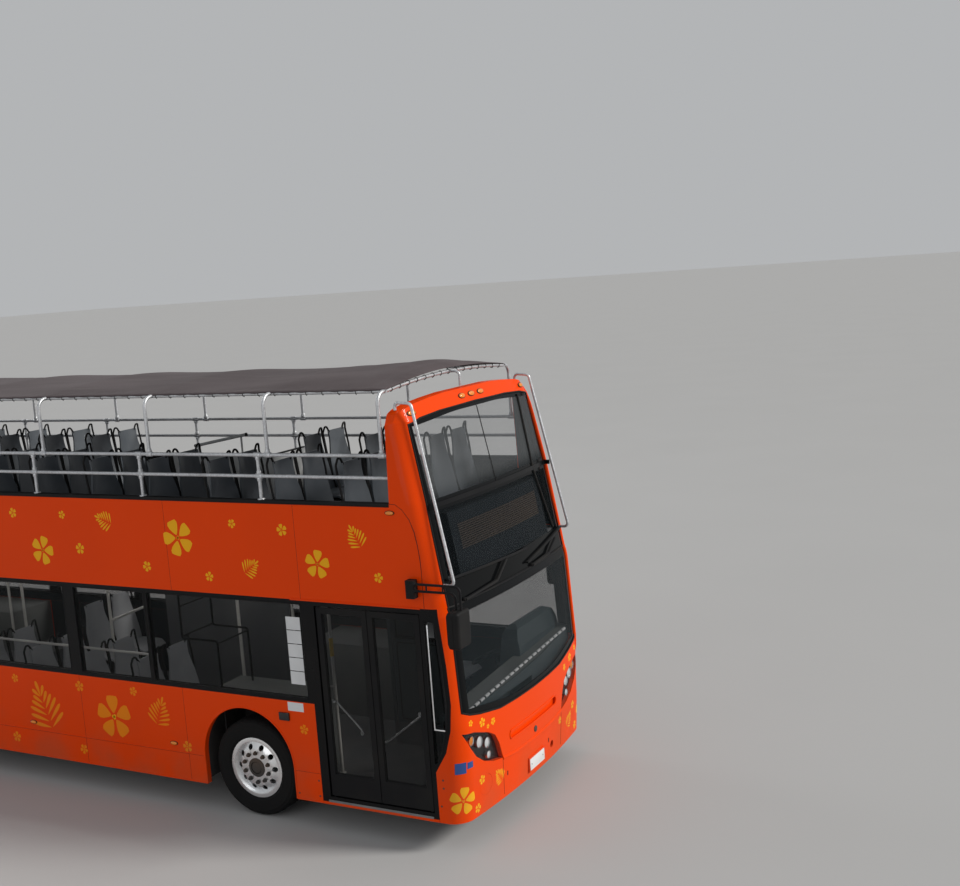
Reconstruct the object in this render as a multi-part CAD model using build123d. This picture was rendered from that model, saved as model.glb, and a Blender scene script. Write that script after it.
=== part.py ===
"""Open top double decker tour bus with a fabric canopy over the upper deck.

All sizes are millimetres.  X points to the front of the bus, Y to its left side, Z up.
While the pieces are drawn, X = 0 is the front axle; save() then moves every piece so that
the origin is on the ground under the middle of the finished vehicle.
"""
import os
from math import atan2, cos, pi, sin, sqrt

from build123d import *

os.makedirs("parts", exist_ok=True)

# Plan sizes
WHEELBASE = 5800.0
FRONT_OVERHANG = 2410.0
REAR_OVERHANG = 2590.0
HALF_WIDTH = 1275.0
MIRROR_REACH = 70.0
FRONT_MOST_X = FRONT_OVERHANG + MIRROR_REACH
REAR_X = -WHEELBASE - REAR_OVERHANG
FRONT_AXLE_X = -(FRONT_MOST_X + REAR_X) / 2

# Heights of the horizontal lines of the body
SKIRT_Z = 265.0
WAIST_Z = 1221.0
BAND_Z = 2199.0
PARAPET_Z = 3107.0
MID_RAIL_Z = 3327.0
TOP_RAIL_Z = 3521.0
EAVE_Z = 4063.0
HEADER_Z = 3850.0
HEADER_TOP_Z = 3970.0

# Thicknesses and clearances
SKIN_T = 60.0
FLOOR_T = 35.0
UPPER_FLOOR_T = 100.0
GLASS_T = 8.0
GLASS_RECESS = 5.0
SEAT_GAP = 0.3
RUN_GAP = 6.0

# Lengthwise places
DOOR_PILLAR_X = 804.0
REAR_CORNER_X = REAR_X + 240.0
CHEEK_BACK_X = 1790.0
STEP_X = -WHEELBASE + 1100.0
BULKHEAD_X = -WHEELBASE - 1150.0

FLOOR_Z = 345.0
REAR_FLOOR_Z = 640.0
CAB_FLOOR_Z = 560.0
UPPER_FLOOR_Z = 2400.0
INNER_Y = HALF_WIDTH - SKIN_T

# Sections of the rounded front, from the skirt to the top of the header
# z, setback of the middle of the front, half width, radius of the front, radius of the corner
NOSE = [
    (SKIRT_Z, 38.0, HALF_WIDTH, 9000.0, 190.0),
    (650.0, 12.0, HALF_WIDTH, 9000.0, 190.0),
    (1120.0, 0.0, HALF_WIDTH, 9000.0, 170.0),
    (1780.0, 38.0, HALF_WIDTH, 9800.0, 170.0),
    (2120.0, 58.0, HALF_WIDTH, 10300.0, 170.0),
    (BAND_Z, 82.0, HALF_WIDTH, 10500.0, 170.0),
    (PARAPET_Z, 245.0, HALF_WIDTH, 13000.0, 170.0),
    (3800.0, 390.0, HALF_WIDTH - 35.0, 16000.0, 180.0),
    (HEADER_TOP_Z, 475.0, HALF_WIDTH - 55.0, 16000.0, 180.0),
]

# Rear edge of the front mouldings beside the door: x, z
EDGE = [
    (2048.0, SKIRT_Z),
    (2048.0, 728.0),
    (2166.0, 919.0),
    (2222.0, 1120.0),
    (2239.0, 1352.0),
    (2222.0, 1692.0),
    (2195.0, 1996.0),
    (2175.0, BAND_Z),
]
# Seam between the upper side panel and the front frame: x, z
SEAM = [
    (2060.0, BAND_Z),
    (2060.0, 2540.0),
    (2040.0, 2760.0),
    (1980.0, 2975.0),
    (1850.0, PARAPET_Z),
]
# Half outline of the lower windscreen seen from the front: y, z
LOWER_SCREEN = [
    (0.0, 1118.0),
    (340.0, 1122.0),
    (640.0, 1132.0),
    (960.0, 1188.0),
    (HALF_WIDTH - 165.0, 1226.0),
    (HALF_WIDTH - 75.0, 1262.0),
    (HALF_WIDTH - 83.0, BAND_Z),
    (0.0, BAND_Z),
]
# Half outline of the upper screens: y, z
UPPER_SCREEN = [
    (0.0, BAND_Z),
    (HALF_WIDTH - 89.0, BAND_Z),
    (HALF_WIDTH - 99.0, 3044.0),
    (HALF_WIDTH - 129.0, 3775.0),
    (972.0, 3808.0),
    (634.0, 3829.0),
    (0.0, 3837.0),
]
# Half outline of the crowned top of the header seen from the front: y, z
HEADER_CROWN = [
    (0.0, 3980.0),
    (350.0, 3974.0),
    (700.0, 3956.0),
    (1000.0, 3930.0),
    (HALF_WIDTH - 145.0, 3904.0),
    (HALF_WIDTH - 80.0, 3868.0),
    (HALF_WIDTH - 47.0, 3805.0),
    (HALF_WIDTH + 25.0, 3700.0),
    (HALF_WIDTH + 25.0, 2100.0),
    (0.0, 2100.0),
]
SCREEN_BAR_Z = 3044.0
SCREEN_BAR_H = 42.0
# Outline of a headlamp seen from the front: y, z
LAMP = [
    (HALF_WIDTH - 60.0, 1078.0),
    (HALF_WIDTH - 201.0, 1055.0),
    (HALF_WIDTH - 426.0, 975.0),
    (HALF_WIDTH - 526.0, 916.0),
    (HALF_WIDTH - 586.0, 817.0),
    (HALF_WIDTH - 641.0, 655.0),
    (HALF_WIDTH - 476.0, 687.0),
    (HALF_WIDTH - 331.0, 742.0),
    (HALF_WIDTH - 215.0, 829.0),
    (HALF_WIDTH - 139.0, 931.0),
]

# Wheels
AXLE_Z = 478.0
TYRE_R = 478.0
TYRE_W = 276.0
BEAD_R = 286.0
FLANGE_R = 298.5
RIM_BORE_R = 262.0
TYRE_FACE_Y = HALF_WIDTH - 45.0
FRONT_TYRE_Y = TYRE_FACE_Y - TYRE_W / 2
TWIN_PITCH = 325.0
ARCH_R = 540.0
ARCH_Z = 560.0
ARCH_SHIFT = -30.0
BOX_T = 25.0
BOX_Y = HALF_WIDTH - 680.0
BOX_TOP_Z = ARCH_Z + ARCH_R + 10.0

# Kingpin, hub and spindle
PIN_R = 20.0
EYE_R = 50.0
EYE_H = 100.0
LUG_H = 40.0
SPINDLE_R = 40.0
BEAM_T = 70.0
BEAM_HALF_X = 45.0
BEAM_TOP_Z = 238.0
UNDER_TOP_Z = FLOOR_Z - FLOOR_T
RAIL_Y = 430.0

# Front door
DOOR_X0 = 895.0
DOOR_X1 = 2001.0
DOOR_TOP_Z = 2150.0
LEAF_T = 40.0
LEAF_EDGE = 12.0
HINGE_IN = 26.0
LEAF_FRAME = 55.0
SHAFT_R = 15.0
LEAF_Y = -(HALF_WIDTH - 30.0)

# Engine hatch
HATCH_HALF = HALF_WIDTH - 475.0
HATCH_Z0 = 520.0
HATCH_Z1 = 1700.0

# Tubes of the upper deck
TUBE_R = 17.0
RAIL_LINE_Y = HALF_WIDTH - 32.0
EAVE_Y = HALF_WIDTH - 155.0
EAVE_FRONT_X = 1740.0
STANCHION_X0 = 401.0
STANCHION_PITCH = 1430.0
RAIL_END_GAP = 150.0
STANCHIONS = int((STANCHION_X0 - REAR_X - RAIL_END_GAP) / STANCHION_PITCH) + 1
HOOP_X0 = 520.0
HOOP_PITCH = 1410.0
HOOPS = int((HOOP_X0 - REAR_X - RAIL_END_GAP) / HOOP_PITCH) + 1
BOW_RISE = 55.0
BEND_Z = 3900.0
CANOPY_T = 12.0


def box(x0, x1, y0, y1, z0, z1):
    return Pos((x0 + x1) / 2, (y0 + y1) / 2, (z0 + z1) / 2) * Box(x1 - x0, y1 - y0, z1 - z0)


def prism_y(points, y0, y1):
    """Extrudes a polygon of x, z points from y0 to y1."""
    face = Face(Wire.make_polygon([(x, y0, z) for x, z in points], close=True))
    return Solid.extrude(face, Vector(0, y1 - y0, 0))


def prism_x(points, x0, x1):
    """Extrudes a polygon of y, z points from x0 to x1."""
    face = Face(Wire.make_polygon([(x0, y, z) for y, z in points], close=True))
    return Solid.extrude(face, Vector(x1 - x0, 0, 0))


def rod(start, end, radius):
    """A straight round bar between two points."""
    a = Vector(*start)
    b = Vector(*end)
    return Solid.make_cylinder(radius, (b - a).length, Plane(origin=a, z_dir=b - a))


def bent_rod(points, bend, radius):
    """A round bar along a polyline whose corners are rounded with one bend radius."""
    path = FilletPolyline(*points, radius=bend)
    start = Plane(origin=path @ 0, z_dir=path % 0)
    return sweep(start * Circle(radius), path=path)


def both_sides(half):
    """Closes a half outline of y, z points with its mirror image."""
    return half + [(-y, z) for y, z in reversed(half) if y > 0]


def mirrored(shape):
    return mirror(shape, about=Plane.XZ)


def save(name, *shapes):
    """Writes one piece, moved so that the origin is under the middle of the bus."""
    solids = [s for shape in shapes for s in shape.solids()]
    whole = solids[0] if len(solids) == 1 else Compound(solids)
    export_step(whole.moved(Location((FRONT_AXLE_X, 0, 0))), "parts/" + name + ".step")


def nose_wire(z, setback, half, front_r, corner_r, inset, back_x):
    """One section of the front: two sides, two corner arcs and the large front arc."""
    nose_x = FRONT_OVERHANG - setback - inset
    h = half - inset
    big = front_r - inset
    small = corner_r - inset
    cy = h - small
    reach = sqrt((big - small) ** 2 - cy ** 2)
    big_x = nose_x - big
    cx = big_x + reach
    share = big / (big - small)
    tx = big_x + reach * share
    ty = cy * share
    middle = (atan2(cy, reach) + pi / 2) / 2
    mx = cx + small * cos(middle)
    my = cy + small * sin(middle)
    edges = [
        Edge.make_line((back_x, -h, z), (cx, -h, z)),
        Edge.make_three_point_arc((cx, -h, z), (mx, -my, z), (tx, -ty, z)),
        Edge.make_three_point_arc((tx, -ty, z), (nose_x, 0, z), (tx, ty, z)),
        Edge.make_three_point_arc((tx, ty, z), (mx, my, z), (cx, h, z)),
        Edge.make_line((cx, h, z), (back_x, h, z)),
        Edge.make_line((back_x, h, z), (back_x, -h, z)),
    ]
    return Wire(edges)


def between(z, rows, column):
    """Reads one column of a table whose first column rises, at height z."""
    for low, high in zip(rows, rows[1:]):
        if low[0] <= z <= high[0]:
            share = (z - low[0]) / (high[0] - low[0])
            return low[column] + share * (high[column] - low[column])
    return rows[-1][column]


def nose_surface_x(y, z):
    """How far forward the front's outer surface lies at a place seen from the front."""
    setback = between(z, NOSE, 1)
    half = between(z, NOSE, 2)
    big = between(z, NOSE, 3)
    small = between(z, NOSE, 4)
    cy = half - small
    reach = sqrt((big - small) ** 2 - cy ** 2)
    big_x = FRONT_OVERHANG - setback - big
    if abs(y) <= cy * big / (big - small):
        return big_x + sqrt(big ** 2 - y ** 2)
    return big_x + reach + sqrt(small ** 2 - (abs(y) - cy) ** 2)


def crown_z(y):
    """Height of the header's crowned top at y."""
    for low, high in zip(HEADER_CROWN, HEADER_CROWN[1:]):
        if low[0] <= y <= high[0]:
            return low[1] + (high[1] - low[1]) * (y - low[0]) / (high[0] - low[0])
    return HEADER_CROWN[0][1]


def nose(inset, back_x=DOOR_PILLAR_X):
    """The whole front as a solid, every face moved inwards by inset."""
    wires = [nose_wire(*row, inset, back_x) for row in NOSE]
    return Solid.make_loft(wires, ruled=True)


# Front of the body

FAR_X = FRONT_OVERHANG + 200
NEAR_X = DOOR_PILLAR_X - 100
WIDE = HALF_WIDTH + 100

outer = nose(0)
inner = nose(SKIN_T, DOOR_PILLAR_X - 50)
skin = outer - inner
pane = nose(GLASS_RECESS) - nose(GLASS_RECESS + GLASS_T, DOOR_PILLAR_X - 50)

ahead_of_edge = prism_y(EDGE + [(FAR_X, BAND_Z), (FAR_X, SKIRT_Z)], -WIDE, WIDE)
behind_edge = prism_y(EDGE + [(NEAR_X, BAND_Z), (NEAR_X, SKIRT_Z)], -WIDE, WIDE)
lower_screen = prism_x(both_sides(LOWER_SCREEN), CHEEK_BACK_X, FAR_X)
upper_screen = prism_x(both_sides(UPPER_SCREEN), CHEEK_BACK_X - 20, FAR_X)
lamp_right = prism_x([(-y, z) for y, z in LAMP], CHEEK_BACK_X, FAR_X)
lamp_left = mirrored(lamp_right)

# The apron reaches up to the windscreen between the lamps and to one seam at the corners
CORNER_SEAM_Z = 1089.0
APRON_HALF = HALF_WIDTH - 215.0
front_skin = (skin & ahead_of_edge) - lower_screen
corner_zone = box(NEAR_X, FAR_X, -WIDE, WIDE, CORNER_SEAM_Z, BAND_Z)
middle_zone = box(NEAR_X, FAR_X, -APRON_HALF, APRON_HALF, CORNER_SEAM_Z, LOWER_SCREEN[5][1])
pillar_zone = corner_zone - middle_zone
apron = front_skin - pillar_zone - lamp_right - lamp_left

PLATE_Z0 = 325.0
PLATE_Z1 = 465.0
PLATE_HALF = 165.0
PLATE_X = FRONT_OVERHANG - 14.0
TOW_Y = 380.0
TOW_Z = 400.0
TOW_R = 22.0
TOW_HALF = 50.0
TOW_X0 = 2220.0
TOW_L = 70.0
TOW_HOLE_R = 36.0
SLOT_HALF = 500.0
FOG_Y = HALF_WIDTH - 355.0
FOG_Z = 515.0
FOG_R = 95.0
POCKET = 25.0
plate_pad = box(PLATE_X - SKIN_T, PLATE_X, -PLATE_HALF, PLATE_HALF, PLATE_Z0, PLATE_Z1)
surface_layer = nose(-20) - nose(POCKET, DOOR_PILLAR_X - 50)
slot = box(CHEEK_BACK_X, FAR_X, -SLOT_HALF, SLOT_HALF, 775, 860)
fogs = rod((CHEEK_BACK_X, FOG_Y, FOG_Z), (FAR_X, FOG_Y, FOG_Z), FOG_R)
fogs = fogs + mirrored(fogs)
tow_hole = rod((CHEEK_BACK_X, TOW_Y, TOW_Z), (FAR_X, TOW_Y, TOW_Z), TOW_HOLE_R)
apron = apron - (surface_layer & slot) - (surface_layer & fogs) - tow_hole
apron = apron + (plate_pad - inner)
save("front_apron", apron)

right_half = box(NEAR_X, FAR_X, -WIDE, 0, SKIRT_Z, BAND_Z)
pillar_right = front_skin & pillar_zone & right_half
save("front_pillars", pillar_right, mirrored(pillar_right))

lens = nose(3) - nose(50, DOOR_PILLAR_X - 50)
save("headlamps", (lens & lamp_right & ahead_of_edge), (lens & lamp_left & ahead_of_edge))

cheek_outline = SEAM + [
    (CHEEK_BACK_X, PARAPET_Z),
    (CHEEK_BACK_X, HEADER_TOP_Z - 90),
    (CHEEK_BACK_X + 40, HEADER_TOP_Z),
    (FAR_X, HEADER_TOP_Z),
    (FAR_X, BAND_Z),
]
cheek_zone = prism_y(cheek_outline, -WIDE, WIDE)
header = outer & box(CHEEK_BACK_X, FAR_X, -WIDE, WIDE, HEADER_Z, HEADER_TOP_Z)
crown_zone = prism_x(both_sides(HEADER_CROWN), NEAR_X, FAR_X)
front_frame = ((skin + header) & cheek_zone & crown_zone) - upper_screen
save("front_frame_upper", front_frame)

bar_z1 = SCREEN_BAR_Z + SCREEN_BAR_H
low_half = box(NEAR_X, FAR_X, -WIDE, WIDE, BAND_Z, SCREEN_BAR_Z)
bar_zone = box(NEAR_X, FAR_X, -WIDE, WIDE, SCREEN_BAR_Z, bar_z1)
high_half = box(NEAR_X, FAR_X, -WIDE, WIDE, bar_z1, HEADER_TOP_Z)
save(
    "front_glass",
    pane & lower_screen,
    (pane & upper_screen & low_half) - box(NEAR_X, FAR_X, -WIDE, WIDE, BAND_Z, BAND_Z + 1),
    pane & upper_screen & high_half,
)
bar_layer = nose(-10) - nose(30, DOOR_PILLAR_X - 50)
# A bracket at each end of the bar reaches out to the guard hoop
BRACKET_Y = HALF_WIDTH - 103.0
bracket = box(2090, 2173, BRACKET_Y - 24, BRACKET_Y, SCREEN_BAR_Z, bar_z1)
save("screen_bar", (bar_layer & bar_zone & upper_screen) + bracket + mirrored(bracket))
DEST_HALF = HALF_WIDTH - 375.0
dest_zone = box(2000, FAR_X, -DEST_HALF, DEST_HALF, UPPER_FLOOR_Z, 2960)
save("destination_box", nose(GLASS_RECESS + GLASS_T + 10, DOOR_PILLAR_X - 50) & dest_zone)

# Door frame on the right and the cab window frame on the left

side_zone_right = box(NEAR_X, FAR_X, -WIDE, -HALF_WIDTH / 2, SKIRT_Z, BAND_Z)
door_hole = box(DOOR_X0, DOOR_X1, -WIDE, -HALF_WIDTH / 2, FLOOR_Z, DOOR_TOP_Z)
QUARTER = [
    (2040.0, 800.0),
    (2040.0, 2090.0),
    (2135.0, 2090.0),
    (2152.0, 1996.0),
    (2179.0, 1692.0),
    (2196.0, 1352.0),
    (2180.0, 1120.0),
    (2120.0, 900.0),
    (2070.0, 800.0),
]
quarter = prism_y(QUARTER, -WIDE, -HALF_WIDTH / 2)
door_frame = (skin & behind_edge & side_zone_right) - door_hole - quarter - lower_screen
save("door_frame", door_frame)

CAB_WINDOW = [
    (860.0, 1270.0),
    (860.0, 2150.0),
    (2125.0, 2150.0),
    (2152.0, 1996.0),
    (2179.0, 1692.0),
    (2190.0, 1352.0),
    (2185.0, 1270.0),
]
cab_window = prism_y(CAB_WINDOW, -WIDE, -HALF_WIDTH / 2)
cab_zone = box(NEAR_X, FAR_X, -WIDE, -HALF_WIDTH / 2, WAIST_Z, BAND_Z)
cab_frame = mirrored((skin & behind_edge & cab_zone) - cab_window - lower_screen)
cab_pane = mirrored((pane & cab_window) - lower_screen)
cab_low_zone = box(NEAR_X, FAR_X, HALF_WIDTH / 2, WIDE, SKIRT_Z, WAIST_Z)
cab_low = skin & behind_edge & cab_low_zone

# Side panels and window bands


def arch(axle_x, shift):
    """The wheel arch: a half circle on straight legs, as a cutter through both sides."""
    x = axle_x + shift
    legs = box(x - ARCH_R, x + ARCH_R, -WIDE, WIDE, SKIRT_Z - 20, ARCH_Z)
    return legs + rod((x, -WIDE, ARCH_Z), (x, WIDE, ARCH_Z), ARCH_R)


arches = [arch(0, ARCH_SHIFT), arch(-WHEELBASE, 0)]


def side_plate(side, x0, x1, z0, z1):
    y0, y1 = (INNER_Y, HALF_WIDTH) if side > 0 else (-HALF_WIDTH, -INNER_Y)
    return box(x0, x1, y0, y1, z0, z1)


low_right = side_plate(-1, REAR_CORNER_X, DOOR_PILLAR_X, SKIRT_Z, WAIST_Z)
low_left = side_plate(1, REAR_CORNER_X, DOOR_PILLAR_X, SKIRT_Z, WAIST_Z)
for cutter in arches:
    low_right = low_right - cutter
    low_left = low_left - cutter
save("side_lower_right", low_right)
save("side_lower_left", low_left + cab_low)

# Lower deck windows: rear x, front x.  The rear ones share the length that is left.
BAYS = [
    (-1110.0, 745.0),
    (-2095.0, -1150.0),
]
REAR_BAYS = 4
REAR_BAYS_X0 = REAR_X + 330.0
REAR_BAYS_X1 = -2240.0
BAY_POST = 140.0
BAY_L = (REAR_BAYS_X1 - REAR_BAYS_X0 - (REAR_BAYS - 1) * BAY_POST) / REAR_BAYS
for i in range(REAR_BAYS):
    bay_x1 = REAR_BAYS_X1 - i * (BAY_L + BAY_POST)
    BAYS.append((bay_x1 - BAY_L, bay_x1))
PANE_Z0 = WAIST_Z + 40.0
PANE_Z1 = BAND_Z - 40.0
band_right = side_plate(-1, REAR_CORNER_X, DOOR_PILLAR_X, WAIST_Z, BAND_Z)
band_left = side_plate(1, REAR_CORNER_X, DOOR_PILLAR_X, WAIST_Z, BAND_Z)
panes = []
pane_y0 = HALF_WIDTH - GLASS_RECESS - GLASS_T
pane_y1 = HALF_WIDTH - GLASS_RECESS
for x0, x1 in BAYS:
    hole = box(x0, x1, -WIDE, WIDE, PANE_Z0, PANE_Z1)
    band_right = band_right - hole
    band_left = band_left - hole
    panes.append(box(x0, x1, pane_y0, pane_y1, PANE_Z0, PANE_Z1))
    panes.append(box(x0, x1, -pane_y1, -pane_y0, PANE_Z0, PANE_Z1))
save("window_frame_right", band_right)
save("window_frame_left", band_left)
save("cab_window_frame", cab_frame)
save("side_glass", *panes, (pane & quarter) - lower_screen, cab_pane)

upper_outline = [(REAR_CORNER_X, BAND_Z)] + SEAM + [(REAR_CORNER_X, PARAPET_Z)]
upper_right = prism_y(upper_outline, -HALF_WIDTH, -INNER_Y)
save("side_upper_right", upper_right)
save("side_upper_left", mirrored(upper_right))

# Rear of the body

REAR_R = 150.0


def rear_block(inset, z0, z1):
    x0 = REAR_X + inset
    y = HALF_WIDTH - inset
    plan = box(x0, REAR_CORNER_X + inset, -y, y, z0, z1)
    corners = plan.edges().filter_by(Axis.Z).sort_by(Axis.X)[:2]
    return fillet(corners, REAR_R - inset)


def rear_shell(z0, z1):
    return rear_block(0, z0, z1) - rear_block(SKIN_T, z0 - 10, z1 + 10)


hatch_hole = box(REAR_X - 50, REAR_X + 100, -HATCH_HALF, HATCH_HALF, HATCH_Z0, HATCH_Z1)
TAIL_Y = HALF_WIDTH - 265.0
TAIL_HALF = 90.0
TAIL_Z0 = 700.0
TAIL_Z1 = 1500.0
tails = []
for side in (-1, 1):
    y = side * TAIL_Y
    tails.append(box(REAR_X - 50, REAR_X + 100, y - TAIL_HALF, y + TAIL_HALF, TAIL_Z0, TAIL_Z1))
rear_low = rear_shell(SKIRT_Z, BAND_Z) - hatch_hole
for tail in tails:
    rear_low = rear_low - tail
save("rear_lower", rear_low)
save("tail_lamps", *[(rear_block(0, TAIL_Z0, TAIL_Z1) - rear_block(45, 600, 1600)) & t for t in tails])
save("rear_upper", rear_shell(BAND_Z, PARAPET_Z))

hatch_in = LEAF_EDGE
hatch_x = REAR_X + 30
HATCH_AXIS_Z = HATCH_Z1 - LEAF_EDGE - HINGE_IN
hatch = box(
    hatch_x - LEAF_T / 2,
    hatch_x + LEAF_T / 2,
    -HATCH_HALF + hatch_in,
    HATCH_HALF - hatch_in,
    HATCH_Z0 + hatch_in,
    HATCH_Z1 - hatch_in,
)
hatch_shaft = rod(
    (hatch_x, -HATCH_HALF + SEAT_GAP, HATCH_AXIS_Z),
    (hatch_x, HATCH_HALF - SEAT_GAP, HATCH_AXIS_Z),
    SHAFT_R,
)
save("engine_hatch", hatch + hatch_shaft)

# Floors, wheel boxes and bulkhead

slab = inner & box(DOOR_PILLAR_X - 40, FAR_X, -WIDE, WIDE, UNDER_TOP_Z, FLOOR_Z)
floor = slab + box(STEP_X, DOOR_PILLAR_X - 40, -INNER_Y, INNER_Y, UNDER_TOP_Z, FLOOR_Z)
box_rows = [(0.0, ARCH_SHIFT), (-WHEELBASE, 0.0)]
floor = floor + box(STEP_X - FLOOR_T, STEP_X, -INNER_Y, INNER_Y, UNDER_TOP_Z, REAR_FLOOR_Z)
floor = floor + box(
    BULKHEAD_X, STEP_X - FLOOR_T, -INNER_Y, INNER_Y, REAR_FLOOR_Z - FLOOR_T, REAR_FLOOR_Z
)
CAB_Y = 60.0
CAB_BACK_X = 780.0
cab_block = box(CAB_BACK_X, FAR_X, CAB_Y, INNER_Y, FLOOR_Z, CAB_FLOOR_Z)
cab_void = box(CAB_BACK_X + FLOOR_T, FAR_X, CAB_Y + FLOOR_T, WIDE, FLOOR_Z, CAB_FLOOR_Z - FLOOR_T)
inner_long = nose(SKIN_T, CAB_BACK_X - 50)
floor = floor + ((cab_block - cab_void) & inner_long)
floor = floor - box(TOW_X0, FAR_X, TOW_Y - TOW_HALF, TOW_Y + TOW_HALF, UNDER_TOP_Z - 5, FLOOR_Z + 5)
wheel_boxes = []
axle_notch = box(-WHEELBASE - 70, -WHEELBASE + 70, -WIDE, WIDE, UNDER_TOP_Z - 10, AXLE_Z + 60)
for axle_x, shift in box_rows:
    x0 = axle_x + shift - ARCH_R - 2
    x1 = axle_x + shift + ARCH_R + 2
    outside = box(x0 - BOX_T, x1 + BOX_T, BOX_Y, INNER_Y, UNDER_TOP_Z, BOX_TOP_Z + BOX_T)
    inside = box(x0, x1, BOX_Y + BOX_T, WIDE, UNDER_TOP_Z - 10, BOX_TOP_Z)
    shell = outside - inside - axle_notch
    wheel_boxes.append(shell)
    wheel_boxes.append(mirrored(shell))
    cut = box(x0 - BOX_T, x1 + BOX_T, BOX_Y, WIDE, UNDER_TOP_Z - 10, BOX_TOP_Z + BOX_T)
    floor = floor - cut - mirrored(cut)
save("lower_floor", floor)
save("wheel_boxes", *wheel_boxes)

STAIR_X0 = -2650.0
STAIR_X1 = -900.0
STAIR_Y1 = INNER_Y - 15.0
STAIR_Y0 = STAIR_Y1 - 560.0
UPPER_UNDER_Z = UPPER_FLOOR_Z - UPPER_FLOOR_T
upper_back_x = REAR_X + REAR_R
join_x = DOOR_PILLAR_X - 40.0
upper = box(upper_back_x, join_x, -INNER_Y, INNER_Y, UPPER_UNDER_Z, UPPER_FLOOR_Z)
upper = upper + (inner & box(join_x, FAR_X, -WIDE, WIDE, UPPER_UNDER_Z, UPPER_FLOOR_Z))
STAIR_T = 35.0
TREAD = 200.0
STAIR_TOP_X = STAIR_X0 + TREAD - STAIR_T
upper = upper - box(STAIR_TOP_X, STAIR_X1, STAIR_Y0, STAIR_Y1, 2000, 2600)
save("upper_floor", upper)
save(
    "bulkhead",
    box(
        BULKHEAD_X - 40,
        BULKHEAD_X,
        -INNER_Y,
        INNER_Y,
        REAR_FLOOR_Z - FLOOR_T,
        UPPER_FLOOR_Z - UPPER_FLOOR_T,
    ),
)

# Staircase: a folded plate of treads and risers with a side wall

RISERS = 9
rise = (UPPER_FLOOR_Z - FLOOR_Z) / RISERS
steps = []
for i in range(RISERS):
    x = STAIR_X0 + TREAD * (RISERS - i)
    steps.append((x, FLOOR_Z + rise * i))
    steps.append((x, FLOOR_Z + rise * (i + 1)))
under = [(x - STAIR_T, z - STAIR_T) for x, z in steps[1:]]
stair_outline = steps + [(steps[-1][0] - STAIR_T, steps[-1][1])]
stair_outline += list(reversed(under[:-1])) + [(steps[0][0] - STAIR_T, FLOOR_Z)]
stairs = prism_y(stair_outline, STAIR_Y0, STAIR_Y1)
WALL_T = 25.0
stair_wall = box(
    STAIR_X0, STAIR_X0 + TREAD * RISERS, STAIR_Y0 - WALL_T, STAIR_Y0, FLOOR_Z, UPPER_FLOOR_Z - UPPER_FLOOR_T
)
save("staircase", stairs + stair_wall)

# Guard round the stairwell on the upper deck: a panel along the aisle and across the front
STAIR_GUARD_TOP_Z = 3200.0
GUARD_X0 = STAIR_X0 + 350.0
GUARD_MIDDLE_Y = STAIR_Y0 - WALL_T / 2
STAIR_RAIL_R = 17.0
stair_guard = box(GUARD_X0, STAIR_X1 + WALL_T, STAIR_Y0 - WALL_T, STAIR_Y0, UPPER_FLOOR_Z, STAIR_GUARD_TOP_Z)
stair_guard = stair_guard + box(
    STAIR_X1, STAIR_X1 + WALL_T, STAIR_Y0 - WALL_T, STAIR_Y1, UPPER_FLOOR_Z, STAIR_GUARD_TOP_Z
)
# Handrail over the panel: x, z of its ends, and the x, z of the tops of its posts
STAIR_RAIL = [(-1964.0, 3300.0), (-1222.0, 3430.0)]
STAIR_RAIL_POSTS = [(-1900.0, 3311.0), (-1300.0, 3416.0)]
rail_ends = [(x, GUARD_MIDDLE_Y, z) for x, z in STAIR_RAIL]
stair_guard = stair_guard + rod(rail_ends[0], rail_ends[1], STAIR_RAIL_R)
for x, z in STAIR_RAIL_POSTS:
    stair_guard = stair_guard + rod((x, GUARD_MIDDLE_Y, STAIR_GUARD_TOP_Z - 5), (x, GUARD_MIDDLE_Y, z), 11)
save("stair_guard", stair_guard)

# Underframe, engine and axles

RAIL_HALF = 40.0
CROSS_HALF = HALF_WIDTH - 125.0
MIDDLE_X0 = -900.0
RAIL_BACK_X = STEP_X - 300.0
JACK_BACK_X = STEP_X + 200.0
JACK_FRONT_X = 700.0
JACK_T = 8.0
CROSS_PITCH = (MIDDLE_X0 - JACK_BACK_X) / 3
frame_solid = box(RAIL_BACK_X, 1950, RAIL_Y - RAIL_HALF, RAIL_Y + RAIL_HALF, BEAM_TOP_Z, UNDER_TOP_Z)
frame_solid = frame_solid + mirrored(frame_solid)
for x in [1910.0, JACK_FRONT_X] + [MIDDLE_X0 - i * CROSS_PITCH for i in range(4)]:
    cross = box(x - RAIL_HALF, x + RAIL_HALF, -CROSS_HALF, CROSS_HALF, BEAM_TOP_Z, UNDER_TOP_Z)
    frame_solid = frame_solid + cross
tow_arm = box(1940, TOW_X0 + TOW_L, TOW_Y - 40, TOW_Y + 40, BEAM_TOP_Z, UNDER_TOP_Z)
tow_block = box(TOW_X0, TOW_X0 + TOW_L, TOW_Y - TOW_HALF, TOW_Y + TOW_HALF, BEAM_TOP_Z, TOW_Z + TOW_HALF)
frame_solid = frame_solid + tow_arm + tow_block
frame_solid = frame_solid - rod((TOW_X0 - 5, TOW_Y, TOW_Z), (TOW_X0 + TOW_L + 5, TOW_Y, TOW_Z), TOW_R)
for x in (JACK_FRONT_X, JACK_BACK_X):
    for y in (-RAIL_Y, RAIL_Y):
        pad = box(x - 60, x + 60, y - RAIL_HALF + 5, y + RAIL_HALF - 5, BEAM_TOP_Z - JACK_T, BEAM_TOP_Z)
        frame_solid = frame_solid + pad
save("underframe", frame_solid)

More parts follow.
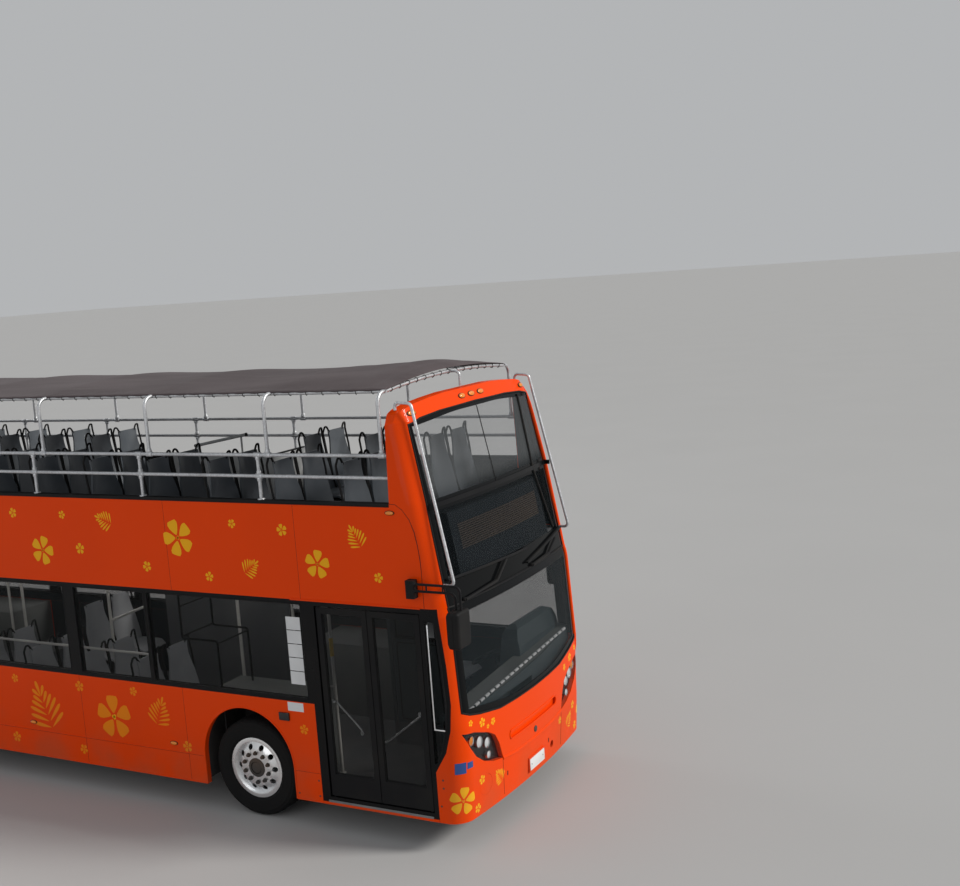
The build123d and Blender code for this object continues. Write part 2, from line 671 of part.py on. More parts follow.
# The frame behind the step: two raised rails, each on a short post, and their cross members
REAR_RAIL_Z0 = 535.0
REAR_RAIL_Z1 = REAR_FLOOR_Z - FLOOR_T
REAR_CROSS_HALF = HALF_WIDTH - 175.0
post_x1 = RAIL_BACK_X + 2 * RAIL_HALF
raised = box(RAIL_BACK_X, post_x1, RAIL_Y - RAIL_HALF, RAIL_Y + RAIL_HALF, UNDER_TOP_Z, REAR_RAIL_Z1)
raised = raised + box(
    REAR_X + 300, post_x1, RAIL_Y - RAIL_HALF, RAIL_Y + RAIL_HALF, REAR_RAIL_Z0, REAR_RAIL_Z1
)
raised = raised + mirrored(raised)
for x in (BULKHEAD_X - 300, REAR_X + 340):
    cross = box(x - 40, x + 40, -REAR_CROSS_HALF, REAR_CROSS_HALF, REAR_RAIL_Z0, REAR_RAIL_Z1)
    raised = raised + cross
save("underframe_rear", raised)

ENGINE_X0 = REAR_X + 250.0
ENGINE_X1 = BULKHEAD_X - 140.0
save("engine_block", box(ENGINE_X0, ENGINE_X1, -420, 420, REAR_RAIL_Z1, REAR_RAIL_Z1 + 900))


def front_beam(side):
    """Half of the dropped front axle beam with the eye for the kingpin."""
    eye_y = FRONT_TYRE_Y
    outline = [
        (0.0, BEAM_TOP_Z - BEAM_T),
        (640.0, BEAM_TOP_Z - BEAM_T),
        (800.0, AXLE_Z - BEAM_T / 2),
        (eye_y, AXLE_Z - BEAM_T / 2),
        (eye_y, AXLE_Z + BEAM_T / 2),
        (760.0, AXLE_Z + BEAM_T / 2),
        (600.0, BEAM_TOP_Z),
        (0.0, BEAM_TOP_Z),
    ]
    beam = prism_x(outline, -BEAM_HALF_X, BEAM_HALF_X)
    eye = rod((0, eye_y, AXLE_Z - EYE_H / 2), (0, eye_y, AXLE_Z + EYE_H / 2), EYE_R)
    hole = rod((0, eye_y, AXLE_Z - EYE_H), (0, eye_y, AXLE_Z + EYE_H), PIN_R + SEAT_GAP)
    half = (beam + eye) - hole
    return half if side > 0 else mirrored(half)


save("front_axle", front_beam(1) + front_beam(-1))

DISC_Y0 = 92.0
DISC_T = 20.0
HUB_R = 105.0
HUB_Y0 = 86.0
HUB_Y1 = 128.0


def knuckle(side):
    """Steering knuckle: two lugs over and under the axle eye, their web, pin and spindle."""
    y = FRONT_TYRE_Y
    low = AXLE_Z - EYE_H / 2 - SEAT_GAP
    high = AXLE_Z + EYE_H / 2 + SEAT_GAP
    web_y0 = y + EYE_R + 5
    web_y1 = y + HUB_Y0 - RUN_GAP
    piece = box(-EYE_R, EYE_R, web_y0, web_y1, low - LUG_H, high + LUG_H)
    for z0, z1 in ((low - LUG_H, low), (high, high + LUG_H)):
        piece = piece + rod((0, y, z0), (0, y, z1), EYE_R)
        piece = piece + box(-EYE_R, EYE_R, y, web_y1, z0, z1)
    piece = piece + rod((0, y, low - LUG_H), (0, y, high + LUG_H), PIN_R)
    piece = piece + rod((0, web_y1, AXLE_Z), (0, y + HUB_Y1 - 12, AXLE_Z), SPINDLE_R)
    return piece if side > 0 else mirrored(piece)


def wheel_profile(points):
    """Revolves an outline of radius, y points about the wheel's own axis."""
    face = Face(Wire.make_polygon([(r, y, 0) for r, y in points], close=True))
    return revolve(face, Axis.Y, 360)


w = TYRE_W / 2
TYRE_OUTLINE = [
    (BEAD_R, -105.0),
    (302.0, -105.0),
    (320.0, -w + 8),
    (385.0, -w),
    (445.0, -w + 8),
    (470.0, -w + 26),
    (TYRE_R, -w + 50),
    (TYRE_R, w - 50),
    (470.0, w - 26),
    (445.0, w - 8),
    (385.0, w),
    (320.0, w - 8),
    (302.0, 105.0),
    (BEAD_R, 105.0),
]
BARREL = [
    (RIM_BORE_R, -117.0),
    (FLANGE_R, -117.0),
    (FLANGE_R, -105.0 - SEAT_GAP),
    (BEAD_R - SEAT_GAP, -105.0 - SEAT_GAP),
    (BEAD_R - SEAT_GAP, 105.0 + SEAT_GAP),
    (FLANGE_R, 105.0 + SEAT_GAP),
    (FLANGE_R, 117.0),
    (RIM_BORE_R, 117.0),
]
tyre = wheel_profile(TYRE_OUTLINE)
barrel = wheel_profile(BARREL)
HAND_HOLES = 10
HAND_R = 27.0
HAND_PITCH_R = 205.0


def disc(y0, y1):
    """Wheel disc with its ring of round hand holes."""
    plate = rod((0, y0, 0), (0, y1, 0), RIM_BORE_R + 5)
    for i in range(HAND_HOLES):
        a = 2 * pi * i / HAND_HOLES
        x = HAND_PITCH_R * cos(a)
        z = HAND_PITCH_R * sin(a)
        plate = plate - rod((x, y0 - 5, z), (x, y1 + 5, z), HAND_R)
    return plate


front_rim = barrel + disc(DISC_Y0, DISC_Y0 + DISC_T) + rod((0, HUB_Y0, 0), (0, HUB_Y1, 0), HUB_R)
front_rim = front_rim - rod((0, HUB_Y0 - 5, 0), (0, HUB_Y1 - 10, 0), SPINDLE_R + SEAT_GAP)
front_place = Pos(0, FRONT_TYRE_Y, AXLE_Z)
save("tyre_front_left", front_place * tyre)
save("rim_front_left", front_place * front_rim)
save("tyre_front_right", mirrored(front_place * tyre))
save("rim_front_right", mirrored(front_place * front_rim))
save("knuckle_left", knuckle(1))
save("knuckle_right", knuckle(-1))

TWIN_INNER_Y = FRONT_TYRE_Y - TWIN_PITCH
TWIN_MIDDLE = TWIN_PITCH / 2
STUB_R = 45.0
HUB_REAR_R = 130.0
outer_rim = Pos(0, TWIN_MIDDLE, 0) * (barrel + disc(-DISC_Y0 - DISC_T, -DISC_Y0))
inner_rim = Pos(0, -TWIN_MIDDLE, 0) * (barrel + disc(DISC_Y0, DISC_Y0 + DISC_T))
twin_hub = rod((0, -100, 0), (0, TWIN_MIDDLE + 60, 0), HUB_REAR_R)
twin_rims = outer_rim + inner_rim + twin_hub
twin_rims = twin_rims - rod((0, -110, 0), (0, TWIN_MIDDLE + 40, 0), STUB_R + SEAT_GAP)
twin_tyres = [Pos(0, TWIN_MIDDLE, 0) * tyre, Pos(0, -TWIN_MIDDLE, 0) * tyre]
rear_place = Pos(-WHEELBASE, TWIN_INNER_Y + TWIN_MIDDLE, AXLE_Z)
save("tyres_rear_left", *[rear_place * t for t in twin_tyres])
save("rims_rear_left", rear_place * twin_rims)
save("tyres_rear_right", *[mirrored(rear_place * t) for t in twin_tyres])
save("rims_rear_right", mirrored(rear_place * twin_rims))
stub_end = TWIN_INNER_Y + TWIN_MIDDLE + TWIN_MIDDLE + 38
axle = rod((-WHEELBASE, -stub_end, AXLE_Z), (-WHEELBASE, stub_end, AXLE_Z), STUB_R)
axle = axle + rod((-WHEELBASE, -380, AXLE_Z), (-WHEELBASE, 380, AXLE_Z), 75)
axle = axle & box(REAR_X, 0, -stub_end, stub_end, 0, REAR_RAIL_Z0 + 200)
axle = axle + rod((-WHEELBASE - 150, 0, AXLE_Z - 30), (-WHEELBASE + 150, 0, AXLE_Z - 30), 120)
for side in (-1, 1):
    y = side * RAIL_Y
    spring = box(-WHEELBASE - 60, -WHEELBASE + 60, y - 40, y + 40, AXLE_Z - 60, REAR_RAIL_Z0)
    axle = axle + spring
save("rear_axle", axle)

# Door leaves

leaf_hinge_rear = DOOR_X0 + LEAF_EDGE + HINGE_IN
leaf_hinge_front = DOOR_X1 - LEAF_EDGE - HINGE_IN
leaf_middle = (DOOR_X0 + DOOR_X1) / 2
LEAF_SPLIT = 8.0
leaf_z0 = FLOOR_Z + 12.0
leaf_z1 = DOOR_TOP_Z - 12.0


def leaf(x0, x1, axis_x):
    """A door leaf: its frame on the turning shaft, and its glass."""
    y0 = LEAF_Y - LEAF_T / 2
    y1 = LEAF_Y + LEAF_T / 2
    plate = box(x0, x1, y0, y1, leaf_z0, leaf_z1)
    hole = box(x0 + LEAF_FRAME, x1 - LEAF_FRAME, y0 - 5, y1 + 5, leaf_z0 + 210, leaf_z1 - LEAF_FRAME)
    shaft = rod((axis_x, LEAF_Y, FLOOR_Z + SEAT_GAP), (axis_x, LEAF_Y, DOOR_TOP_Z - SEAT_GAP), SHAFT_R)
    glass = box(
        x0 + LEAF_FRAME,
        x1 - LEAF_FRAME,
        LEAF_Y - GLASS_T / 2,
        LEAF_Y + GLASS_T / 2,
        leaf_z0 + 210,
        leaf_z1 - LEAF_FRAME,
    )
    return (plate - hole) + shaft, glass


rear_leaf, rear_pane = leaf(DOOR_X0 + LEAF_EDGE, leaf_middle - LEAF_SPLIT / 2, leaf_hinge_rear)
front_leaf, front_pane = leaf(leaf_middle + LEAF_SPLIT / 2, DOOR_X1 - LEAF_EDGE, leaf_hinge_front)
save("door_leaf_rear", rear_leaf)
save("door_glass_rear", rear_pane)
save("door_leaf_front", front_leaf)
save("door_glass_front", front_pane)

# Cab: dashboard, steering wheel, seat and cab door

dash_zone = box(1870, FAR_X, CAB_Y + 40, INNER_Y - 5, CAB_FLOOR_Z, 1080)
dash_reach = nose(SKIN_T + SEAT_GAP, DOOR_PILLAR_X - 50)
dash_cut = box(1700, 2020, CAB_Y, WIDE, CAB_FLOOR_Z - 5, 900)
dash = (dash_zone & dash_reach) - dash_cut
# Shelf behind the windscreen, seen from the front: y, z.  It rises to the driver's side.
SHELF_BACK_X = 2085.0
SHELF_END_Y = HALF_WIDTH - 75.0
SHELF = [
    (-SHELF_END_Y, 1219.0),
    (SHELF_END_Y, 1363.0),
    (SHELF_END_Y, 1000.0),
    (100.0, 1000.0),
    (100.0, 1190.0),
    (-SHELF_END_Y, 1174.0),
]
dash = dash + (prism_x(SHELF, SHELF_BACK_X, FAR_X) & dash_reach)
# The lining under the shelf on the door side stands on the floor
lining = box(SHELF_BACK_X, SHELF_BACK_X + 30, -SHELF_END_Y, CAB_Y, FLOOR_Z, 1180)
lining = lining + box(SHELF_BACK_X, SHELF_BACK_X + 30, CAB_Y, CAB_Y + 41, CAB_FLOOR_Z, 1180)
dash = dash + (lining & dash_reach)
# Hood over the instruments: x, z from the side and y, z from the front
HOOD = [
    (1950.0, 1060.0),
    (1935.0, 1200.0),
    (1985.0, 1540.0),
    (2020.0, 1588.0),
    (2075.0, 1600.0),
    (2130.0, 1565.0),
    (2165.0, 1400.0),
    (2180.0, 1060.0),
]
HOOD_FRONT = [
    (240.0, 1050.0),
    (240.0, 1470.0),
    (285.0, 1560.0),
    (370.0, 1600.0),
    (1000.0, 1600.0),
    (1085.0, 1560.0),
    (1130.0, 1470.0),
    (1130.0, 1050.0),
]
hood = prism_y(HOOD, 200, 1150) & prism_x(HOOD_FRONT, 1900, 2200)
save("dashboard", dash + hood)
WHEEL_AT = (1640.0, 640.0, 1170.0)
WHEEL_TILT = 25.0
WHEEL_RING_R = 215.0
WHEEL_ROD_R = 15.0
ring = Solid.make_torus(WHEEL_RING_R, WHEEL_ROD_R)
spokes = Box(2 * WHEEL_RING_R, 40, 14) + Box(40, 2 * WHEEL_RING_R, 14)
boss = Cylinder(55, 40)
stub = Pos(0, 0, -60) * Cylinder(18, 120)
steering = ring + spokes + boss + stub
steer_place = Pos(*WHEEL_AT) * Rot(0, -WHEEL_TILT, 0)
save("steering_wheel", steer_place * steering)
column = steer_place * (Pos(0, 0, -120 - SEAT_GAP - 350) * Cylinder(35, 700))
save("steering_column", column & box(1000, 2100, 0, INNER_Y, CAB_FLOOR_Z, 1300))

CAB_DOOR_X0 = 800.0
CAB_DOOR_L = 640.0
CAB_DOOR_T = 30.0
CAB_DOOR_Y = CAB_Y + FLOOR_T / 2
post = box(CAB_BACK_X, CAB_BACK_X + FLOOR_T, CAB_Y, INNER_Y, CAB_FLOOR_Z, UPPER_FLOOR_Z - UPPER_FLOOR_T)
save("cab_partition", post)
cab_hinge_x = CAB_BACK_X + FLOOR_T + 5 + SHAFT_R + 4
cab_leaf = box(
    cab_hinge_x,
    cab_hinge_x + CAB_DOOR_L,
    CAB_DOOR_Y - CAB_DOOR_T / 2,
    CAB_DOOR_Y + CAB_DOOR_T / 2,
    CAB_FLOOR_Z + 10,
    1450,
)
cab_shaft = rod((cab_hinge_x, CAB_DOOR_Y, CAB_FLOOR_Z + SEAT_GAP), (cab_hinge_x, CAB_DOOR_Y, 1450), SHAFT_R)
save("cab_door", cab_leaf + cab_shaft)

# Seats: rows of single moulded seats in pairs

SEAT_W = 430.0
SEAT_PITCH = 760.0
PAN_L = 430.0
PAN_T = 70.0
PAN_H = 430.0
BACK_T = 55.0
BACK_H = 660.0
BACK_LEAN = 90.0
# Top edge of a back, seen from the front: y, drop below the highest point
BACK_TOP = [
    (SEAT_W / 2, 90.0),
    (SEAT_W / 2 - 18.0, 16.0),
    (SEAT_W / 2 - 50.0, 0.0),
    (SEAT_W / 2 - 78.0, 10.0),
    (SEAT_W / 2 - 125.0, 40.0),
    (70.0, 52.0),
]
WINDOW_SEAT_Y = INNER_Y - 15.0 - SEAT_W / 2
AISLE_SEAT_Y = WINDOW_SEAT_Y - SEAT_W - 12.0


def seat(x, y, floor_z):
    """Front edge of the pan at x: pan on a leg, and a leaning back behind it."""
    top = floor_z + PAN_H
    pan = box(x - PAN_L, x, y - SEAT_W / 2, y + SEAT_W / 2, top - PAN_T, top)
    leg = box(x - PAN_L / 2 - 90, x - PAN_L / 2 + 90, y - 60, y + 60, floor_z, top - PAN_T)
    foot = [
        (x - PAN_L - SEAT_GAP, top - PAN_T),
        (x - PAN_L - SEAT_GAP - BACK_LEAN, top + BACK_H),
        (x - PAN_L - SEAT_GAP - BACK_LEAN - BACK_T, top + BACK_H),
        (x - PAN_L - SEAT_GAP - BACK_T, top - PAN_T),
    ]
    back = prism_y(foot, y - SEAT_W / 2, y + SEAT_W / 2)
    half = [(SEAT_W / 2, PAN_T + BACK_H + 10.0)] + BACK_TOP
    edge = [(y + dy, top + BACK_H - drop) for dy, drop in half]
    edge += [(y - dy, top + BACK_H - drop) for dy, drop in reversed(half)]
    back = back & prism_x(edge, x - PAN_L - BACK_LEAN - 2 * BACK_T, x)
    return pan + leg, back


pans = []
backs = []
UPPER_ROW_X = 1755.0
BEHIND_LAST_ROW = 1000.0
UPPER_ROWS = int((UPPER_ROW_X - REAR_X - BEHIND_LAST_ROW) / SEAT_PITCH) + 1
# Deck floor, x of the first row, rows, rows left out on the left side for the stairs
DECKS = [
    (UPPER_FLOOR_Z, UPPER_ROW_X, UPPER_ROWS, (3, 4, 5)),
    (FLOOR_Z, -950.0, 4, (0, 1, 2)),
]
for floor_z, first_x, rows, left_out in DECKS:
    for row in range(rows):
        for side in (-1, 1):
            if side > 0 and row in left_out:
                continue
            for y in (WINDOW_SEAT_Y, AISLE_SEAT_Y):
                one_pan, one_back = seat(first_x - row * SEAT_PITCH, side * y, floor_z)
                pans.append(one_pan)
                backs.append(one_back)
BENCH_PITCH = 440.0
bench_y = INNER_Y - 140.0 - SEAT_W / 2
for y in (-bench_y, BENCH_PITCH - bench_y, bench_y - BENCH_PITCH, bench_y):
    one_pan, one_back = seat(BULKHEAD_X + PAN_L + BACK_LEAN + BACK_T + 1, y, REAR_FLOOR_Z)
    pans.append(one_pan)
    backs.append(one_back)
DRIVER_SEAT_X = WHEEL_AT[0] - 210.0
driver_pan, driver_back = seat(DRIVER_SEAT_X, WHEEL_AT[1], CAB_FLOOR_Z)
pans.append(driver_pan)
backs.append(driver_back)
save("seat_pans", *pans)
save("seat_backs", *backs)

# Rails of the upper deck

rail_back_x = REAR_X + 32
tubes = []
for side in (-1, 1):
    y = side * RAIL_LINE_Y
    for z in (MID_RAIL_Z, TOP_RAIL_Z):
        tubes.append(rod((rail_back_x + 32, y, z), (CHEEK_BACK_X, y, z), TUBE_R))
    for i in range(STANCHIONS):
        x = STANCHION_X0 - i * STANCHION_PITCH
        tubes.append(rod((x, y, PARAPET_Z), (x, y, MID_RAIL_Z - TUBE_R - SEAT_GAP), TUBE_R))
        tubes.append(
            rod((x, y, MID_RAIL_Z + TUBE_R + SEAT_GAP), (x, y, TOP_RAIL_Z - TUBE_R - SEAT_GAP), TUBE_R)
        )
rear_rail_y = RAIL_LINE_Y - TUBE_R - SEAT_GAP
for z in (MID_RAIL_Z, TOP_RAIL_Z):
    x = rail_back_x + 32 + TUBE_R
    tubes.append(rod((x, -rear_rail_y, z), (x, rear_rail_y, z), TUBE_R))
save("side_rails", *tubes)

# Canopy frame: posts on the top rail, bends, bows and eave tubes

hoop_xs = [EAVE_FRONT_X] + [HOOP_X0 - i * HOOP_PITCH for i in range(HOOPS)]
frame_tubes = []
bend_end_y = EAVE_Y
for x in hoop_xs:
    for side in (-1, 1):
        y = side * RAIL_LINE_Y
        low = TOP_RAIL_Z + TUBE_R + SEAT_GAP
        frame_tubes.append(rod((x, y, low), (x, y, BEND_Z - SEAT_GAP), TUBE_R))
        start = (x, y, BEND_Z)
        knee = (x, y, EAVE_Z)
        end = (x, side * (EAVE_Y + TUBE_R + SEAT_GAP), EAVE_Z)
        frame_tubes.append(bent_rod([start, knee, end], 95.0, TUBE_R))
eave_xs = sorted(hoop_xs)
for side in (-1, 1):
    y = side * EAVE_Y
    frame_tubes.append(rod((eave_xs[0] - 30, y, EAVE_Z), (eave_xs[-1] + 17, y, EAVE_Z), TUBE_R))
bow_end = EAVE_Y - TUBE_R - SEAT_GAP
for x in hoop_xs:
    arc = Edge.make_three_point_arc((x, -bow_end, EAVE_Z), (x, 0, EAVE_Z + BOW_RISE), (x, bow_end, EAVE_Z))
    ring_plane = Plane(origin=arc @ 0, z_dir=arc % 0)
    frame_tubes.append(sweep(ring_plane * Circle(TUBE_R), path=Wire([arc])))
save("canopy_frame", *frame_tubes)

# Canopy cloth: x, crown above the eave line
CLOTH = [
    (eave_xs[0] - 30, BOW_RISE + 12.0),
    (400.0, BOW_RISE + 20.0),
    (1450.0, BOW_RISE + 90.0),
    (EAVE_FRONT_X + 17, BOW_RISE + 12.0),
]


def cloth_section(x, crown):
    low = EAVE_Z + TUBE_R + SEAT_GAP
    y = EAVE_Y + 5
    top_mid = (x, 0, low + crown + CANOPY_T)
    low_mid = (x, 0, low + crown)
    edges = [
        Edge.make_three_point_arc((x, -y, low), low_mid, (x, y, low)),
        Edge.make_line((x, y, low), (x, y, low + CANOPY_T)),
        Edge.make_three_point_arc((x, y, low + CANOPY_T), top_mid, (x, -y, low + CANOPY_T)),
        Edge.make_line((x, -y, low + CANOPY_T), (x, -y, low)),
    ]
    return Wire(edges)


save("canopy", Solid.make_loft([cloth_section(x, crown) for x, crown in CLOTH], ruled=True))

# Guard hoops, mirrors and wipers

GUARD_R = 14.0
GUARD_TOP_Y = HALF_WIDTH - 125.0
GUARD_FOOT_Y = HALF_WIDTH - 83.0
GUARD_FOOT_Z = 2395.0
GUARD_BACK_X = 1850.0
guard_seat_z = crown_z(GUARD_TOP_Y - GUARD_R) + SEAT_GAP
guard_seat_x = nose_surface_x(GUARD_FOOT_Y - GUARD_R, GUARD_FOOT_Z - GUARD_R) + 2 * SEAT_GAP
GUARD = [
    (GUARD_BACK_X, GUARD_TOP_Y, guard_seat_z),
    (GUARD_BACK_X, GUARD_TOP_Y, 3968.0),
    (2010.0, GUARD_TOP_Y, 3955.0),
    (2330.0, GUARD_FOOT_Y, GUARD_FOOT_Z),
    (guard_seat_x, GUARD_FOOT_Y, GUARD_FOOT_Z),
]
hoop = bent_rod(GUARD, 40.0, GUARD_R)
# A short post on the middle of the header carries the front bow of the canopy
POST_X = 1860.0
bow_z = EAVE_Z + BOW_RISE
POST = [
    (POST_X, 0, crown_z(0) + SEAT_GAP),
    (POST_X, 0, bow_z),
    (EAVE_FRONT_X + TUBE_R + SEAT_GAP, 0, bow_z),
]
save("guard_hoops", hoop, mirrored(hoop), bent_rod(POST, 45.0, 12.0))

# Door side mirror: a ladder arm of two tubes reaches forward from its base and bends down to
# the head.  Driver's side mirror: a short arm beside the cab window.
MIRROR_Y = HALF_WIDTH + 55.0
MIRROR_BASE_X0 = 1930.0
MIRROR_BASE_X1 = 2010.0
ARM_R = 11.0
# Tubes of the ladder arm: height, how far the bend lies behind the front of the head
ARM_TUBES = [(2430.0, 25.0), (2370.0, 72.0)]
HEAD_Z0 = 1910.0
HEAD_Z1 = 2230.0
HEAD_L = 120.0
mirror_base = box(MIRROR_BASE_X0, MIRROR_BASE_X1, HALF_WIDTH, HALF_WIDTH + 70, 2300, 2460)


def mirror_head(x1, y0, y1, z0, z1):
    """A mirror head with rounded edges."""
    head = box(x1 - HEAD_L, x1, y0, y1, z0, z1)
    return fillet(head.edges(), 28.0)


door_mirror = mirror_base + mirror_head(FRONT_MOST_X, MIRROR_Y - 110, MIRROR_Y + 110, HEAD_Z0, HEAD_Z1)
for z, back in ARM_TUBES:
    x = FRONT_MOST_X - back
    door_mirror = door_mirror + bent_rod(
        [(MIRROR_BASE_X1 - 20, MIRROR_Y, z), (x, MIRROR_Y, z), (x, MIRROR_Y, HEAD_Z1 - 30)], 50.0, ARM_R
    )
for x in (2130.0, 2290.0):
    door_mirror = door_mirror + rod((x, MIRROR_Y, ARM_TUBES[1][0]), (x, MIRROR_Y, ARM_TUBES[0][0]), 7)
cab_mirror_x = MIRROR_BASE_X1 + 40.0
cab_mirror = mirror_base + mirror_head(cab_mirror_x + HEAD_L / 2, HALF_WIDTH + 25, HALF_WIDTH + 165, 1740, 2160)
cab_mirror = cab_mirror + bent_rod(
    [(MIRROR_BASE_X1 - 20, HALF_WIDTH + 40, 2370), (cab_mirror_x, HALF_WIDTH + 40, 2370),
     (cab_mirror_x, HALF_WIDTH + 40, 2130)], 30.0, ARM_R
)
save("mirrors", mirrored(door_mirror), cab_mirror)
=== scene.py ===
# %% [markdown]
# # Open top double decker bus
#
# The CAD model is the fixed frame: it gives every place and every size. This lesson dresses that
# frame. It gives each part its finish, replaces the plain solids of soft or finely shaped parts by
# detailed ones, and adds the small fittings. X points to the front of the bus, Y to its left side
# and Z up, in metres, with the ground at zero.

# %% Load the frame
from math import atan2, ceil, cos, pi, radians, sin, sqrt, tan

import bmesh
import bpy
from bmesh import ops
from mathutils import Matrix, Vector


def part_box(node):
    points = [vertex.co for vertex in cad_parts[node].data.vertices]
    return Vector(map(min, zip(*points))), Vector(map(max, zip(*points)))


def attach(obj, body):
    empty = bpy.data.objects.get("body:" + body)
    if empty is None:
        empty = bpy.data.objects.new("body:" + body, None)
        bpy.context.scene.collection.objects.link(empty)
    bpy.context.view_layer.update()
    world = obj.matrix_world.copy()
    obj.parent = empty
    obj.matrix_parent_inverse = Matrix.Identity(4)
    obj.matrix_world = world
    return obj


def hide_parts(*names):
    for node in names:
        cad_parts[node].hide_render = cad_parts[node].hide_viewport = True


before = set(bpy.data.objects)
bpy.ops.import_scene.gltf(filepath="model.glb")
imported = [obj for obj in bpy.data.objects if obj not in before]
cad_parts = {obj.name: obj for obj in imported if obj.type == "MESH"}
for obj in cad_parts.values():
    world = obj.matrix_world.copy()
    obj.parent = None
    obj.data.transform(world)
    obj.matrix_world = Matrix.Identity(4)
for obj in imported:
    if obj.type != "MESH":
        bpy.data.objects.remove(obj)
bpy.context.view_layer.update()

# %% [markdown]
# The camera stands where the photographer stood: on a bridge to the right of the bus, ahead of it
# and level with its roof. Its place and its turn were worked out from the corners of the body. The
# camera was held a little crooked, so the last turn is about its own line of sight.

# %% Camera
axle_low, axle_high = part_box("front_axle")
FRONT = (axle_low.x + axle_high.x) / 2


def place(x, y, z):
    """A place measured from the front axle, as a place in the frame."""
    return Vector((x + FRONT, y, z))


CAMERA_PLACE = place(7.5297, -10.1239, 5.0337)
CAMERA_TURN = radians(28.5314)
CAMERA_RISE = radians(7.8833)
CAMERA_ROLL = radians(-4.1519)
CAMERA_LENS = 46.80
level = cos(CAMERA_RISE)
back = Vector((sin(CAMERA_TURN) * level, -cos(CAMERA_TURN) * level, sin(CAMERA_RISE)))
right = (-back).cross(Vector((0, 0, 1))).normalized()
up = right.cross(-back)
level_right = cos(CAMERA_ROLL) * right + sin(CAMERA_ROLL) * up
level_up = -sin(CAMERA_ROLL) * right + cos(CAMERA_ROLL) * up
camera = bpy.data.objects.new("camera", bpy.data.cameras.new("camera"))
camera.data.lens = CAMERA_LENS
camera.data.sensor_width = 36.0
camera.data.sensor_fit = "HORIZONTAL"
camera.data.clip_end = 900.0
turn = Matrix((level_right, level_up, back)).transposed().to_4x4()
camera.matrix_world = Matrix.Translation(CAMERA_PLACE) @ turn
bpy.context.scene.collection.objects.link(camera)
bpy.context.scene.camera = camera
print("camera at", tuple(CAMERA_PLACE))

# %% [markdown]
# A material is a small network of nodes. Written as sums, it reads like the idea behind it, so one
# class wraps a socket and lets Python's own signs add the Math nodes. Any other node comes from one
# method of the finish that it belongs to.

# %% A value that can stand in a sum
class Value:
    def __init__(self, finish, socket):
        self.finish = finish
        self.socket = socket

    def maths(self, operation, *inputs):
        return self.finish.node("Math", {"operation": operation}, dict(enumerate(inputs)))

    def __add__(self, other):
        return self.maths("ADD", self, other)

    def __sub__(self, other):
        return self.maths("SUBTRACT", self, other)

    def __rsub__(self, other):
        return self.maths("SUBTRACT", other, self)

    def __mul__(self, other):
        return self.maths("MULTIPLY", self, other)

    def __abs__(self):
        return self.maths("ABSOLUTE", self)

    __radd__ = __add__
    __rmul__ = __mul__


print("values ready")

# %% A finish: one material and its nodes
class Finish:
    def __init__(self, name):
        self.material = bpy.data.materials.new(name)
        self.material.use_nodes = True
        self.tree = self.material.node_tree
        self.tree.nodes.clear()
        self.place = self.node("TexCoord", out="Object")

    def node(self, kind, settings=None, inputs=None, out=0):
        made = self.tree.nodes.new("ShaderNode" + kind)
        for name, value in (settings or {}).items():
            if name == "stops":
                ramp = made.color_ramp
                ramp.elements[0].position, ramp.elements[0].color = value[0]
                ramp.elements[1].position, ramp.elements[1].color = value[-1]
                for position, colour in value[1:-1]:
                    ramp.elements.new(position).color = colour
            else:
                setattr(made, name, value)
        for name, value in (inputs or {}).items():
            if isinstance(value, Value):
                self.tree.links.new(value.socket, made.inputs[name])
            else:
                made.inputs[name].default_value = value
        return Value(self, made.outputs[out])

    def axes(self):
        """The x, y and z of the surface, each as a value."""
        return [self.node("SeparateXYZ", None, {0: self.place}, axis) for axis in "XYZ"]

    def noise(self, scale, detail=2.0, stretch=(1, 1, 1)):
        where = self.node("Mapping", None, {"Vector": self.place, "Scale": stretch})
        inputs = {"Vector": where, "Scale": scale, "Detail": detail}
        return self.node("TexNoise", None, inputs, "Fac")

    def ease(self, value, low, high):
        """Nought below low, one above high, and smooth between them."""
        settings = {"interpolation_type": "SMOOTHSTEP"}
        inputs = {"Value": value, "From Min": low, "From Max": high}
        return self.node("MapRange", settings, inputs)

    def mix(self, share, first, second):
        first = first if isinstance(first, Value) else (*first, 1)
        second = second if isinstance(second, Value) else (*second, 1)
        return self.node("Mix", {"data_type": "RGBA"}, {0: share, 6: first, 7: second}, 2)

    def bump(self, height, distance, strength):
        inputs = {"Height": height, "Distance": distance, "Strength": strength}
        return self.node("Bump", None, inputs)

    def shade(self, colour, roughness, **sockets):
        if not isinstance(colour, Value):
            colour = (*colour, 1)
        inputs = {"Base Color": colour, "Roughness": roughness}
        for name, value in sockets.items():
            inputs[name.replace("_", " ").title().replace("Ior", "IOR")] = value
        shader = self.node("BsdfPrincipled", None, inputs)
        output = self.tree.nodes.new("ShaderNodeOutputMaterial")
        self.tree.links.new(shader.socket, output.inputs["Surface"])
        return self


print("classes ready")

# %% [markdown]
# The orange is a glossy lacquer over a thin metal or moulded panel. Real lacquer has a fine orange
# peel, and road dust gathers low down. The colour follows the height a little, the roughness grows
# with the dust, and a clear coat gives the sharp reflection.

